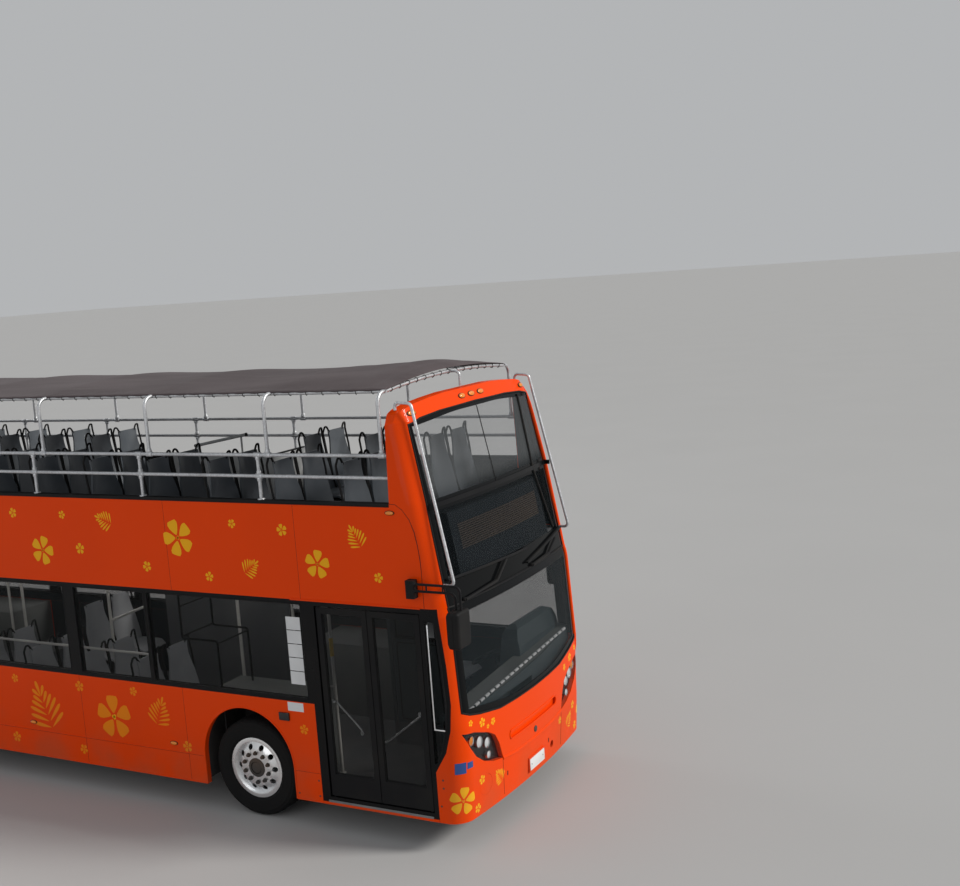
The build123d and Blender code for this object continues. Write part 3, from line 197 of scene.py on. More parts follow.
# %% Orange lacquer
def lacquer(name, colour, dust):
    finish = Finish(name)
    cloud = finish.noise(2.2, 4)
    low = 1 - finish.ease(finish.axes()[2], 0.25, 0.95)
    dirt = low * finish.ease(cloud, 0.35, 0.75)
    shade = finish.mix(finish.noise(0.9, 3), colour, [c * 0.88 for c in colour])
    tone = finish.mix(dirt * dust, shade, (0.22, 0.12, 0.07))
    peel = finish.noise(260, 1)
    sheet = finish.noise(1.6, 1)
    normal = finish.bump(peel * 0.12 + sheet, 0.0016, 0.55)
    return finish.shade(
        tone, 0.36 + dirt * 0.4, specular_ior_level=0.06, coat_weight=0.12 - dirt * 0.1,
        coat_roughness=0.06, normal=normal,
    )


orange_paint = lacquer("orange_paint", (0.83, 0.058, 0.0002), 0.3)
decal_yellow = lacquer("decal_yellow", (0.90, 0.43, 0.012), 0.4)
decal_gold = lacquer("decal_gold", (0.88, 0.24, 0.006), 0.4)
print("lacquers:", len(bpy.data.materials))

# %% [markdown]
# Black trim, dark castings, dark plastics and floor sheet are all nearly black, and only their
# grain and their gloss tell them apart. One function makes them: a base colour, a second colour in
# soft clouds, a grain of a given size, and a roughness that wanders.

# %% Grained finishes
def grained(name, colour, cloud_colour, rough, grain, depth, metallic=0.0, coat=0.0, shine=0.5):
    finish = Finish(name)
    cloud = finish.noise(3.0, 5)
    fine = finish.noise(grain, 3)
    tone = finish.mix(finish.ease(cloud, 0.35, 0.7), colour, cloud_colour)
    normal = finish.bump(fine, depth, 0.2)
    roughness = rough + (cloud - 0.5) * 0.12
    return finish.shade(
        tone, roughness, metallic=metallic, coat_weight=coat, specular_ior_level=shine,
        normal=normal,
    )


black_gloss = grained(
    "black_gloss", (0.004, 0.004, 0.0045), (0.006, 0.006, 0.0065), 0.22, 90, 0.0001, coat=0.03,
    shine=0.14,
)
trim_black = grained(
    "trim_black", (0.008, 0.008, 0.009), (0.013, 0.0125, 0.012), 0.55, 900, 0.0006, shine=0.14
)
matt_black = grained(
    "matt_black", (0.012, 0.015, 0.018), (0.015, 0.018, 0.021), 0.85, 300, 0.0002, shine=0.05
)
dark_metal = grained("dark_metal", (0.03, 0.03, 0.032), (0.06, 0.052, 0.045), 0.62, 120, 0.0012)
cast_iron = grained(
    "cast_iron", (0.05, 0.048, 0.046), (0.085, 0.06, 0.045), 0.7, 220, 0.0016, metallic=0.3
)
dash_plastic = grained(
    "dash_plastic", (0.036, 0.052, 0.058), (0.044, 0.060, 0.066), 0.42, 700, 0.0006
)
seat_plastic = grained(
    "seat_plastic", (0.066, 0.077, 0.090), (0.085, 0.096, 0.110), 0.38, 500, 0.0005, coat=0.12
)
grey_panel = grained("grey_panel", (0.42, 0.43, 0.44), (0.36, 0.37, 0.37), 0.5, 600, 0.0005)
sill_grey = grained(
    "sill_grey", (0.20, 0.205, 0.21), (0.26, 0.26, 0.26), 0.42, 300, 0.0006, metallic=0.4
)
aluminium = grained(
    "polished_aluminium", (0.92, 0.93, 0.94), (0.82, 0.82, 0.82), 0.27, 90, 0.0003, metallic=0.9
)
chrome = grained(
    "bright_metal", (0.85, 0.86, 0.87), (0.75, 0.76, 0.77), 0.12, 60, 0.0002, metallic=1.0
)
lamp_black = grained(
    "lamp_black", (0.006, 0.006, 0.0065), (0.010, 0.010, 0.010), 0.25, 150, 0.0003, coat=0.15
)
print("grained finishes:", len(bpy.data.materials))

# %% [markdown]
# The tubes of the open deck are hot dipped in zinc and then weathered. Zinc sets in crystals, so
# a cell pattern breaks the grey into flat spangles that differ in tone and in gloss.

# %% Galvanised tube
galvanised = Finish("galvanised")
spangle = galvanised.node("TexVoronoi", None, {"Vector": galvanised.place, "Scale": 90.0}, "Color")
cell = galvanised.node("SeparateXYZ", None, {0: spangle}, "X")
stain = galvanised.noise(5, 5)
zinc = galvanised.mix(cell, (0.50, 0.51, 0.53), (0.66, 0.67, 0.69))
zinc = galvanised.mix(galvanised.ease(stain, 0.5, 0.8) * 0.6, zinc, (0.30, 0.30, 0.30))
zinc_normal = galvanised.bump(stain, 0.0008, 0.4)
galvanised.shade(zinc, 0.34 + cell * 0.14, metallic=0.75, normal=zinc_normal)
print("zinc finish ready")

# %% [markdown]
# Glass on a bus is a thin hard sheet. A physically thick glass shader turns black in a scene with
# so many panes, so each pane is a glossy surface that is partly see-through: the alpha is the share
# of light that the tint takes. The printed black border of a bonded pane is the same glass with
# an alpha of one, worked out from the place on the pane. The screens carry a painted reflection of
# the sky that follows the height: pale on the upper screens, darker below them, and darkest and
# most see-through before the destination box.

# %% Glass
# heights over which the painted sky reflection changes, below the display and below the upper
# screens
DISPLAY, UPPER_SCREEN = (2.15, 2.35), (2.95, 3.25)


def glass(name, colour, alpha, border=None, shine=0.35):
    finish = Finish(name)
    film = finish.noise(1.4, 4)
    body = alpha + (film - 0.5) * 0.06
    if border:
        edge = border(finish)
        height = finish.axes()[2]
        upper = finish.ease(height, *UPPER_SCREEN)
        display = finish.ease(height, *DISPLAY) * (1 - upper)
        body = edge.maths("MAXIMUM", edge, body * (1 - display * 0.5))
        # painted sky reflection in the glass colour: pale on the upper screens, darker below them,
        # darkest before the destination box
        painted_sky_reflection = finish.mix(upper, (0.024, 0.031, 0.035), colour)
        painted_sky_reflection = finish.mix(display, painted_sky_reflection, (0.010, 0.014, 0.016))
        colour = finish.mix(edge, painted_sky_reflection, (0.004, 0.0045, 0.005))
    normal = finish.bump(finish.noise(1.1, 1), 0.003, 0.3)
    rough = 0.11 + finish.ease(film, 0.6, 0.9) * 0.05
    finish.material.surface_render_method = "DITHERED"
    return finish.shade(colour, rough, alpha=body, specular_ior_level=shine, normal=normal)


def screen_border(finish):
    """The black print round the three front screens, by height and by distance from the middle."""
    _, y, z = finish.axes()
    mask = finish.ease(abs(y), 1.105, 1.112)
    low = 1 - finish.ease(z - finish.ease(abs(y), 0.3, 1.25) * 0.11, 1.165, 1.172)
    band = finish.ease(z, 2.110, 2.116) * (1 - finish.ease(z, 2.400, 2.406))
    over = finish.ease(z, 3.010, 3.014) * (1 - finish.ease(z, 3.110, 3.114))
    top = finish.ease(z + finish.ease(abs(y), 0.3, 1.2) * 0.045, 3.795, 3.799)
    for part in (low, band, over, top):
        mask = mask.maths("MAXIMUM", mask, part)
    return mask


tinted_glass = glass("tinted_glass", (0.003, 0.004, 0.004), 0.32, shine=0.14)
# the pale colour is the painted sky reflection on the upper screens
screen_glass = glass("screen_glass", (0.135, 0.145, 0.152), 0.24, screen_border, 0.10)
door_glass = glass("door_glass", (0.004, 0.005, 0.005), 0.42)
print("glass ready")

# %% [markdown]
# The floors are sheet vinyl with a scatter of pale flecks for grip, a cell pattern again: the
# points nearest to a cell's middle turn pale.

# %% Floor sheet
floor_sheet = Finish("floor_sheet")
cells = {"Vector": floor_sheet.place, "Scale": 160.0}
fleck = floor_sheet.node("TexVoronoi", None, cells, "Distance")
worn = floor_sheet.noise(2.5, 5)
vinyl = floor_sheet.mix(
    floor_sheet.ease(worn, 0.3, 0.8), (0.075, 0.078, 0.085), (0.12, 0.12, 0.125)
)
vinyl = floor_sheet.mix(1 - floor_sheet.ease(fleck, 0.12, 0.2), vinyl, (0.42, 0.42, 0.42))
floor_sheet.shade(vinyl, 0.6 + worn * 0.15, normal=floor_sheet.bump(fleck, 0.0008, 0.5))
print("floor sheet ready")

# %% [markdown]
# Tyre rubber is matt and dusty. The dust lies in the grooves and low on the sidewall, so its mask
# is a soft cloud, and the rubber gets a fine grain.

# %% Rubber
tyre_rubber = Finish("tyre_rubber")
dust = tyre_rubber.ease(tyre_rubber.noise(4, 6), 0.4, 0.75)
rubber_tone = tyre_rubber.mix(dust * 0.5, (0.003, 0.003, 0.0033), (0.014, 0.013, 0.012))
rubber_grain = tyre_rubber.bump(tyre_rubber.noise(400, 2), 0.0008, 0.5)
tyre_rubber.shade(rubber_tone, 0.78 + dust * 0.18, specular_ior_level=0.25, normal=rubber_grain)
print("rubber ready")

# %% [markdown]
# Lamp glass is bright, ribbed plastic with a mirror behind it. The ribs are a wave in the height of
# the surface, and the colour is deep. One function makes amber, red and clear lenses.

# %% Lamp lenses
def lens(name, colour):
    finish = Finish(name)
    waves = {"Vector": finish.place, "Scale": 60.0}
    rib = finish.node("TexWave", {"bands_direction": "Y"}, waves, "Fac")
    tone = finish.mix(rib * 0.35, colour, [c * 0.6 for c in colour])
    return finish.shade(tone, 0.12, coat_weight=0.6, normal=finish.bump(rib, 0.001, 0.4))


lens_amber = lens("lens_amber", (0.85, 0.25, 0.01))
lens_red = lens("lens_red", (0.42, 0.006, 0.006))
lens_clear = lens("lens_clear", (0.80, 0.82, 0.84))
lens_cover = glass("lens_cover", (0.010, 0.011, 0.012), 0.10)
print("lenses ready")

# %% [markdown]
# Each CAD node now takes its finish. A node's own mesh is never touched: only the material in its
# slot changes. The table pairs every finish with the nodes that wear it.

# %% Finishes of the CAD nodes
NODE_FINISH = {
    orange_paint: "front_apron front_pillars front_frame_upper side_lower_right side_lower_left "
    "side_upper_right side_upper_left rear_lower rear_upper engine_hatch",
    matt_black: "destination_box",
    black_gloss: "screen_bar door_frame cab_window_frame window_frame_right window_frame_left",
    trim_black: "door_leaf_rear door_leaf_front mirrors steering_wheel steering_column",
    dark_metal: "underframe underframe_rear knuckle_left knuckle_right front_axle rear_axle "
    "wheel_boxes",
    cast_iron: "engine_block",
    tinted_glass: "side_glass",
    screen_glass: "front_glass",
    door_glass: "door_glass_rear door_glass_front",
    galvanised: "side_rails canopy_frame guard_hoops",
    seat_plastic: "seat_pans seat_backs",
    dash_plastic: "dashboard canopy cab_partition cab_door",
    floor_sheet: "lower_floor upper_floor staircase",
    grey_panel: "bulkhead stair_guard",
    tyre_rubber: "tyre_front_left tyre_front_right tyres_rear_left tyres_rear_right",
    aluminium: "rim_front_left rim_front_right rims_rear_left rims_rear_right",
    lamp_black: "headlamps",
    lens_red: "tail_lamps",
}
for finish, names in NODE_FINISH.items():
    for name in names.split():
        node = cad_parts[name]
        node.data.materials.clear()
        node.data.materials.append(finish.material)
dressed = sum(len(names.split()) for names in NODE_FINISH.values())
print("finished", dressed, "of", len(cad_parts), "nodes")

# %% [markdown]
# New parts are made with bmesh, Blender's mesh kernel. First come the words for places and for the
# geometry that an operator returns. A place is a vector, or three numbers from the front axle.

# %% Places and selections
HALF_WIDTH = 1.275
WELD = 1e-6
SIDES = (-1, 1)


def spot(p):
    return p if isinstance(p, Vector) else place(*p)


def verts_of(geometry):
    return [g for g in geometry if isinstance(g, bmesh.types.BMVert)]


def edges_of(geometry):
    return [g for g in geometry if isinstance(g, bmesh.types.BMEdge)]


def edges_at(verts):
    return list({e for v in verts for e in v.link_edges})


def faces_at(verts):
    return list({f for v in verts for f in v.link_faces})


def works(count):
    return [bmesh.new() for _ in range(count)]


def facing(direction, at):
    """The matrix that puts the local Z of a turned part along a direction, at a place."""
    turn = Vector(direction).to_track_quat("Z", "Y").to_matrix().to_4x4()
    return Matrix.Translation(spot(at)) @ turn


print("the body is", HALF_WIDTH * 2, "m wide")

# %% [markdown]
# A few helpers say what a workshop would say: a block, a bent tube, a turned part, a sheet. Each
# starts from a ready shape or one face and lets an operator do the rest.

# %% Blocks and tubes
def block(bm, low, high, edge=0.0, turn=None):
    """A box between two corners, turned about its middle, with rounded edges."""
    low, high = spot(low), spot(high)
    made = ops.create_cube(bm, size=1.0)["verts"]
    ops.scale(bm, vec=high - low, verts=made)
    if turn:
        ops.rotate(bm, cent=(0, 0, 0), matrix=turn, verts=made)
    ops.translate(bm, vec=(low + high) / 2, verts=made)
    if edge:
        ops.bevel(
            bm, geom=edges_at(made), offset=edge, offset_type="OFFSET", affect="EDGES",
            segments=2, profile=0.5, material=-1, clamp_overlap=True,
        )


def side_block(bm, side, x, z, depth, edge=0.0):
    """A block on one side: its lengths, its heights, and how far it reaches out of the surface."""
    y = sorted(side * (HALF_WIDTH + d) for d in depth)
    block(bm, (x[0], y[0], z[0]), (x[1], y[1], z[1]), edge)


def bend_line(points, bend, steps=4):
    """The middle line of a bent tube: each corner becomes a short curve."""
    points = [spot(p) for p in points]
    line = [points[0]]
    for before, corner, after in zip(points, points[1:], points[2:]):
        a, b = before - corner, after - corner
        reach = min(bend / tan(a.angle(b) / 2), 0.48 * a.length, 0.48 * b.length)
        p, q = corner + a.normalized() * reach, corner + b.normalized() * reach
        for i in range(steps + 1):
            t = i / steps
            line.append(p * (1 - t) ** 2 + corner * 2 * t * (1 - t) + q * t**2)
    line.append(points[-1])
    return line


def tube(bm, line, radius, sides=6, closed=False):
    """Pushes a ring along a line; the ring turns as little as it can."""
    line = [spot(p) for p in line]
    side, frames, last = None, [], len(line) - 1
    for i, p in enumerate(line):
        if closed:
            ahead = (line[(i + 1) % (last + 1)] - line[i - 1]).normalized()
        else:
            ahead = (line[min(i + 1, last)] - line[max(i - 1, 0)]).normalized()
        if side is None:
            side = ahead.orthogonal().normalized()
        side = (side - ahead * side.dot(ahead)).normalized()
        turn = Matrix((side, ahead.cross(side), ahead)).transposed().to_4x4()
        frames.append(Matrix.Translation(p) @ turn)
    ring = ops.create_circle(
        bm, cap_ends=not closed, segments=sides, radius=radius, matrix=frames[0]
    )["verts"]
    first = edges = edges_at(ring)
    for before, now in zip(frames, frames[1:]):
        grown = ops.extrude_edge_only(bm, edges=edges)["geom"]
        edges = edges_of(grown)
        ops.transform(bm, matrix=now @ before.inverted(), verts=verts_of(grown))
    if closed:
        ops.bridge_loops(bm, edges=first + edges)
    else:
        ops.contextual_create(bm, geom=edges)


def hoop(bm, corners, bend, radius, sides=6, steps=5):
    """A closed tube through corners, each of them rounded."""
    points = [spot(c) for c in corners]
    middle = (points[0] + points[1]) / 2
    line = bend_line([middle] + points[1:] + [points[0], middle], bend, steps)[:-1]
    tube(bm, line, radius, sides, closed=True)


def rect(a0, b0, a1, b1):
    return [(a0, b0), (a1, b0), (a1, b1), (a0, b1)]


print("blocks and tubes ready")

# %% Turned parts and sheets
def turned(bm, profile, steps, direction=(0, 0, 1), at=Vector()):
    """Spins a profile of radius, height pairs; its height then lies along a direction."""
    verts = [bm.verts.new((r, 0, h)) for r, h in profile]
    edges = [bm.edges.new(pair) for pair in zip(verts, verts[1:])]
    before = set(bm.verts) - set(verts)
    ops.spin(
        bm, geom=verts + edges, cent=(0, 0, 0), axis=(0, 0, 1), angle=2 * pi,
        steps=steps, use_merge=True, use_duplicate=False,
    )
    made = [v for v in bm.verts if v not in before]
    ops.remove_doubles(bm, verts=made, dist=WELD)
    made = [v for v in bm.verts if v not in before]
    ops.transform(bm, matrix=facing(direction, at), verts=made)
    return made


def sheet(bm, columns, rows, lay, thickness, towards):
    """A grid laid by a function of u and v, each from 0 to 1, and thickened towards a side."""
    grid = ops.create_grid(bm, x_segments=columns, y_segments=rows, size=1.0)["verts"]
    faces = faces_at(grid)
    for vert in grid:
        vert.co = lay((vert.co.x + 1) / 2, (vert.co.y + 1) / 2)
    ops.remove_doubles(bm, verts=grid, dist=1e-5)
    faces = [f for f in faces if f.is_valid]
    ops.recalc_face_normals(bm, faces=faces)
    # The thickness grows against the normals.
    if faces[0].normal.dot(Vector(towards)) > 0:
        ops.reverse_faces(bm, faces=faces)
    ops.solidify(bm, geom=faces, thickness=thickness)


def along(table, value, smooth=False):
    """Reads a table of pairs at a value, straight or smooth between its rows."""
    for (a0, b0), (a1, b1) in zip(table, table[1:]):
        if value <= a1:
            t = (value - a0) / (a1 - a0)
            return b0 + (b1 - b0) * (t * t * (3 - 2 * t) if smooth else t)
    return table[-1][1]


print("turned parts and sheets ready")

# %% [markdown]
# A shape that comes often is made once as a template and copied. A finished piece is one object: it
# takes a finish, the body that it moves with and the nodes that it replaces.

# %% Copies and finished pieces
def as_mesh(bm, name):
    mesh = bpy.data.meshes.new(name)
    bm.to_mesh(mesh)
    bm.free()
    return mesh


def template(maker, *details):
    """Makes a shape once, as a mesh that can be copied to many places."""
    bm = bmesh.new()
    maker(bm, *details)
    ops.remove_doubles(bm, verts=bm.verts, dist=WELD)
    ops.recalc_face_normals(bm, faces=bm.faces)
    return as_mesh(bm, "template")


def copies(bm, mesh, matrices):
    """Adds a copy of a finished mesh at each place."""
    for matrix in matrices:
        placed = mesh.copy()
        placed.transform(matrix)
        bm.from_mesh(placed)
        bpy.data.meshes.remove(placed)
    return bm


def finished(name, bm, finish, slot, sharp=40, replaces=(), body="body"):
    """Turns the work into an object with its finish and its body; the slot is not used."""
    ops.remove_doubles(bm, verts=bm.verts, dist=WELD)
    ops.recalc_face_normals(bm, faces=bm.faces)
    mesh = as_mesh(bm, name)
    mesh.shade_smooth()
    mesh.set_sharp_from_angle(angle=radians(sharp))
    mesh.materials.append(finish.material)
    piece = bpy.data.objects.new(name, mesh)
    bpy.context.scene.collection.objects.link(piece)
    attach(piece, body)
    if replaces:
        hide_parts(*replaces)
    print(f"{name}: {len(mesh.polygons)} faces on {body}")
    return piece


print("pieces can be finished")

# %% [markdown]
# The bus stands on a plain pale floor. In the photograph the sun falls on the front and leaves the
# long side in soft shade, so a broad soft sun stands ahead of the bus and a little to its left, one
# wide lamp fills the side and another the back. A pale sky gives the glass something to mirror.

# %% Floor and lights
floor_work = bmesh.new()
ops.create_grid(floor_work, x_segments=1, y_segments=1, size=400)
studio = Finish("studio_floor")
pale = studio.mix(studio.noise(0.4, 2), (0.42, 0.42, 0.42), (0.44, 0.44, 0.44))
studio.shade(pale, 0.75, specular_ior_level=0.2)
floor = bpy.data.objects.new("studio_floor", as_mesh(floor_work, "studio_floor"))
floor.data.materials.append(studio.material)
bpy.context.scene.collection.objects.link(floor)


def soft_light(name, kind, at, target, power, **settings):
    lamp = bpy.data.lights.new(name, kind)
    lamp.energy = power
    for setting, value in settings.items():
        setattr(lamp, setting, value)
    holder = bpy.data.objects.new(name, lamp)
    holder.matrix_world = facing(Vector(at) - Vector(target), Vector(at))
    bpy.context.scene.collection.objects.link(holder)


warm = {"angle": radians(14), "color": (1.0, 0.97, 0.92)}
soft_light("front_sun", "SUN", (16, 5, 11), (0, 0, 1), 2.9, **warm)
soft_light("side_fill", "AREA", (1, -19, 7), (0, 0, 2), 330, size=10)
soft_light("rear_fill", "AREA", (-17, 3, 9), (-3, 0, 2), 600, size=8)
world = bpy.data.worlds.new("studio_sky")
world.use_nodes = True
sky = world.node_tree.nodes["Background"].inputs
sky["Color"].default_value = (0.96, 0.98, 1.0, 1)
sky["Strength"].default_value = 0.47
bpy.context.scene.world = world
bpy.context.scene.view_settings.view_transform = "Standard"

# %% [markdown]
# A coach tyre has ribs with zigzag grooves between them, blocks along the shoulder and a few raised
# rings on the sidewall. One profile is spun about the wheel's axle, then every second row of the
# grooves is moved sideways for the zigzag, and every third shoulder face is sunk.

# %% Tyres
TYRE_R, TYRE_HALF, TYRE_STEPS = 0.478, 0.138, 96
RIBS_AT = (-0.056, -0.0185, 0.0185, 0.056)
GROOVE_HALF, GROOVE_DEEP = 0.0045, 0.012
WHEEL_AXIS = (0, 1, 0)
# radius, distance from the middle
SIDEWALL = [
    (0.286, 0.104), (0.301, 0.106), (0.312, 0.122), (0.318, 0.1265), (0.330, 0.1305),
    (0.334, 0.1290), (0.350, 0.1335), (0.385, 0.1375), (0.415, 0.1362), (0.420, 0.1378),
    (0.426, 0.1350), (0.445, 0.1290), (0.449, 0.1300), (0.462, 0.1190), (0.471, 0.1080),
    (0.4765, 0.0930),
]


def tyre(bm):
    tread, floor_r = [], TYRE_R - GROOVE_DEEP
    for y in RIBS_AT:
        tread += [(TYRE_R, y - GROOVE_HALF), (floor_r, y - GROOVE_HALF * 0.6)]
        tread += [(floor_r, y + GROOVE_HALF * 0.6), (TYRE_R, y + GROOVE_HALF)]
    profile = [(r, -y) for r, y in SIDEWALL] + tread + SIDEWALL[::-1]
    made = turned(bm, profile, TYRE_STEPS, WHEEL_AXIS)
    made += turned(bm, [(0.286, 0.104), (0.286, -0.104)], TYRE_STEPS, WHEEL_AXIS)
    for vert in made:
        step = round(atan2(vert.co.z, vert.co.x) / (2 * pi) * TYRE_STEPS)
        if abs(vert.co.y) < 0.064 and vert.co.xz.length > 0.46:
            vert.co.y += 0.0045 if step % 2 else -0.0045
    shoulder = []
    for face in faces_at(made):
        middle = face.calc_center_median()
        step = int(((atan2(middle.z, middle.x) / (2 * pi)) % 1) * TYRE_STEPS)
        if 0.466 < middle.xz.length < 0.4765 and step % 3 == 0:
            shoulder.append(face)
    for face in ops.extrude_discrete_faces(bm, faces=shoulder)["faces"]:
        middle = face.calc_center_median()
        inwards = Vector((-middle.x, 0, -middle.z)).normalized() * 0.006
        for vert in face.verts:
            vert.co += inwards


def wheel_centre(node):
    low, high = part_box(node)
    return (low + high) / 2


def twin_centres(node):
    low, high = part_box(node)
    out = Vector((0, (high.y - low.y) / 2 - TYRE_HALF, 0))
    return (low + high) / 2 - out, (low + high) / 2 + out


tyre_mesh = template(tyre)
for side in ("left", "right"):
    front, rear = "tyre_front_" + side, "tyres_rear_" + side
    for name, node, centres, axle in (
        ("front_tyre_", front, [wheel_centre(front)], "wheel_front_"),
        ("rear_tyres_", rear, twin_centres(rear), "wheel_rear_"),
    ):
        bm = copies(bmesh.new(), tyre_mesh, [Matrix.Translation(c) for c in centres])
        finished(name + side, bm, tyre_rubber, "tyre_rubber", 28, [node], axle + side)

# %% [markdown]
# The wheels are forged and polished: a drop-centre barrel, and a disc with ten round hand holes,
# ten nuts and a dark hub with its cap. One sector of the disc is made by bridging a round hole to
# the sector's edge; ten copies close the ring. On the front wheels the disc is bulged outwards, and
# on the twins it is dished inwards.

# %% Wheel parts
HOLES, HOLE_R, HOLE_AT, HOLE_SIDES = 10, 0.0265, 0.205, 32
NUT_AT, DISC_IN_R, DISC_OUT_R, DISC_THICK = 0.1435, 0.088, 0.2615, 0.018
# how far the disc falls away, flat round the nuts and then down to the rim
DISH = [(0, 0), (0.165, 0), (DISC_OUT_R, 1)]
RIM_EDGE = [
    (0.2615, 0.1165), (0.268, 0.1170), (0.290, 0.1168), (0.2975, 0.1150), (0.2984, 0.111),
    (0.2975, 0.1062), (0.2850, 0.1048), (0.2838, 0.09), (0.272, 0.060), (0.270, 0.02),
]
RIM_INSIDE = [
    (0.2615, -0.1165), (0.262, -0.09), (0.2555, -0.05), (0.2555, 0.05), (0.2615, 0.09),
    (0.2615, 0.1165),
]


def wheel_disc(bm, at, out, bulge):
    """Ten sectors with a round hole each, then a thickness inwards."""
    half = pi / HOLES
    corners = rect(DISC_IN_R, -half, DISC_OUT_R, half)
    outline = []
    for (r0, a0), (r1, a1) in zip(corners, corners[1:] + corners[:1]):
        for i in range(HOLE_SIDES // 4):
            t = i / (HOLE_SIDES // 4)
            r, a = r0 + (r1 - r0) * t, a0 + (a1 - a0) * t
            outline.append(bm.verts.new((r * cos(a), r * sin(a), 0)))
    ring = [bm.edges.new(pair) for pair in zip(outline, outline[1:] + outline[:1])]
    hole_place = Matrix.Translation((HOLE_AT, 0, 0)) @ Matrix.Rotation(radians(-135), 4, "Z")
    hole = ops.create_circle(bm, segments=HOLE_SIDES, radius=HOLE_R, matrix=hole_place)["verts"]
    bridged = ops.bridge_loops(bm, edges=ring + edges_at(hole))["edges"]
    ops.subdivide_edges(bm, edges=[e for e in bridged if e.calc_length() > WELD], cuts=1)
    ops.spin(
        bm, geom=bm.verts[:] + bm.edges[:] + bm.faces[:], cent=(0, 0, 0), axis=(0, 0, 1),
        angle=2 * pi * (HOLES - 1) / HOLES, steps=HOLES - 1, use_duplicate=True,
    )
    ops.remove_doubles(bm, verts=bm.verts, dist=1e-5)
    for vert in bm.verts:
        vert.co.z = -bulge * along(DISH, vert.co.xy.length, smooth=True)
    pushed = ops.extrude_face_region(bm, geom=bm.faces[:], use_keep_orig=True)["geom"]
    ops.translate(bm, vec=(0, 0, -DISC_THICK), verts=verts_of(pushed))
    ops.transform(bm, matrix=facing(out, at), verts=bm.verts)


def rim(bm, centre, out, disc_at, bulge):
    """Barrel and disc of one wheel; out points away from the bus."""
    wheel_disc(bm, centre + out * disc_at, out, bulge)
    barrel = RIM_EDGE + [(r, -y) for r, y in reversed(RIM_EDGE)] + RIM_INSIDE
    turned(bm, barrel, 72, out, centre)


def hub_and_nuts(bm, centre, out, disc_at, reach):
    """The hub stands out of the disc; a ring of nuts with washers holds the wheel."""
    at = centre + out * disc_at
    profile = [(0.0005, reach), (0.030, reach), (0.052, reach - 0.004), (0.060, reach - 0.012)]
    profile += [(0.062, 0.012), (0.088, 0.008), (0.094, 0.003), (0.094, -0.022)]
    turned(bm, profile, 40, out, at)
    for i in range(HOLES):
        angle = 2 * pi * (i + 0.5) / HOLES
        nut = facing(out, at) @ Vector((NUT_AT * cos(angle), NUT_AT * sin(angle), 0))
        turned(bm, [(0.0215, -0.001), (0.0215, 0.0035), (0.015, 0.0045)], 20, out, nut)
        hexagon = [(0.0165, 0.003), (0.0165, 0.024), (0.0135, 0.0275), (0.0005, 0.0275)]
        turned(bm, hexagon, 6, out, nut)


print("wheel parts ready")

# %% Wheels
for side, sign in (("left", 1), ("right", -1)):
    out = Vector((0, sign, 0))
    centre = wheel_centre("tyre_front_" + side)
    inner, outer = sorted(twin_centres("tyres_rear_" + side), key=lambda c: c.y * sign)
    front, front_hub, twins, rear_hub = works(4)
    rim(front, centre, out, 0.112, 0.034)
    hub_and_nuts(front_hub, centre, out, 0.112, 0.012)
    rim(twins, outer, -out, 0.092, -0.03)
    twins.from_mesh(template(rim, inner, out, 0.112, 0.02))
    hub_and_nuts(rear_hub, outer, out, -0.062, 0.11)
    for axle, wheel, node, hub in (
        ("front", (front, "front_wheel_"), "rim_front_", front_hub),
        ("rear", (twins, "rear_wheels_"), "rims_rear_", rear_hub),
    ):
        body = f"wheel_{axle}_{side}"
        bm, name = wheel
        finished(name + side, bm, aluminium, "polished_aluminium", 28, [node + side], body)
        finished(f"{axle}_hub_{side}", hub, cast_iron, "cast_iron", 28, body=body)

# %% [markdown]
# The canopy is one coated cloth, drawn tight over the bows and tied down along its edges. A grid
# takes the crown of the bows, dips a little between them and curls over the eave tubes at its
# edges, where the ties pull it into shallow scallops. A thin Solidify gives it the thickness of
# cloth. The weave is drawn with the cloth's own UV map, so it runs along the cloth.

# %% Canopy cloth finish
canopy_fabric = Finish("canopy_fabric")
uv = canopy_fabric.node("TexCoord", out="UV")
along_cloth = canopy_fabric.node("Mapping", None, {"Vector": uv, "Scale": (420.0, 420.0, 1.0)})
thread, weft = (
    canopy_fabric.node(
        "TexWave", {"bands_direction": way}, {"Vector": along_cloth, "Scale": 1.0}, "Fac"
    )
    for way in "XY"
)
weather = canopy_fabric.ease(canopy_fabric.noise(0.8, 5, (1, 2.5, 1)), 0.3, 0.75)
streak = canopy_fabric.noise(3.5, 4, (0.25, 2, 1))
cloth_tone = canopy_fabric.mix(weather, (0.062, 0.048, 0.051), (0.092, 0.074, 0.078))
streaks = canopy_fabric.ease(streak, 0.55, 0.8) * 0.35
cloth_tone = canopy_fabric.mix(streaks, cloth_tone, (0.135, 0.118, 0.118))
cloth_bump = canopy_fabric.bump(thread * weft * 0.25 + streak, 0.003, 0.5)
canopy_fabric.shade(
    cloth_tone, 0.86, specular_ior_level=0.15, sheen_weight=0.04, normal=cloth_bump
)
print("canopy cloth finish ready")

# %% Canopy cloth
EAVE_Y, EAVE_Z = 1.120, 4.063
TUBE_R = 0.017
CURL_R = TUBE_R + 0.004
CLOTH_X0, CLOTH_X1 = -7.968, 1.762
HEM_SHARE = 0.94
BOWS = [1.740] + [0.520 - 1.410 * i for i in range(7)]
# length, rise over the eave
CROWN = [
    (-7.97, 0.075), (-4.0, 0.082), (0.4, 0.088), (1.10, 0.132), (1.42, 0.148), (1.60, 0.120),
    (1.757, 0.078),
]
TIE_PITCH = 0.176


def between_bows(x):
    """Nought on a bow, one half-way between two of them."""
    stops = sorted(BOWS)
    for x0, x1 in zip(stops, stops[1:]):
        if x0 <= x <= x1:
            return sin(pi * (x - x0) / (x1 - x0))
    return 0.0


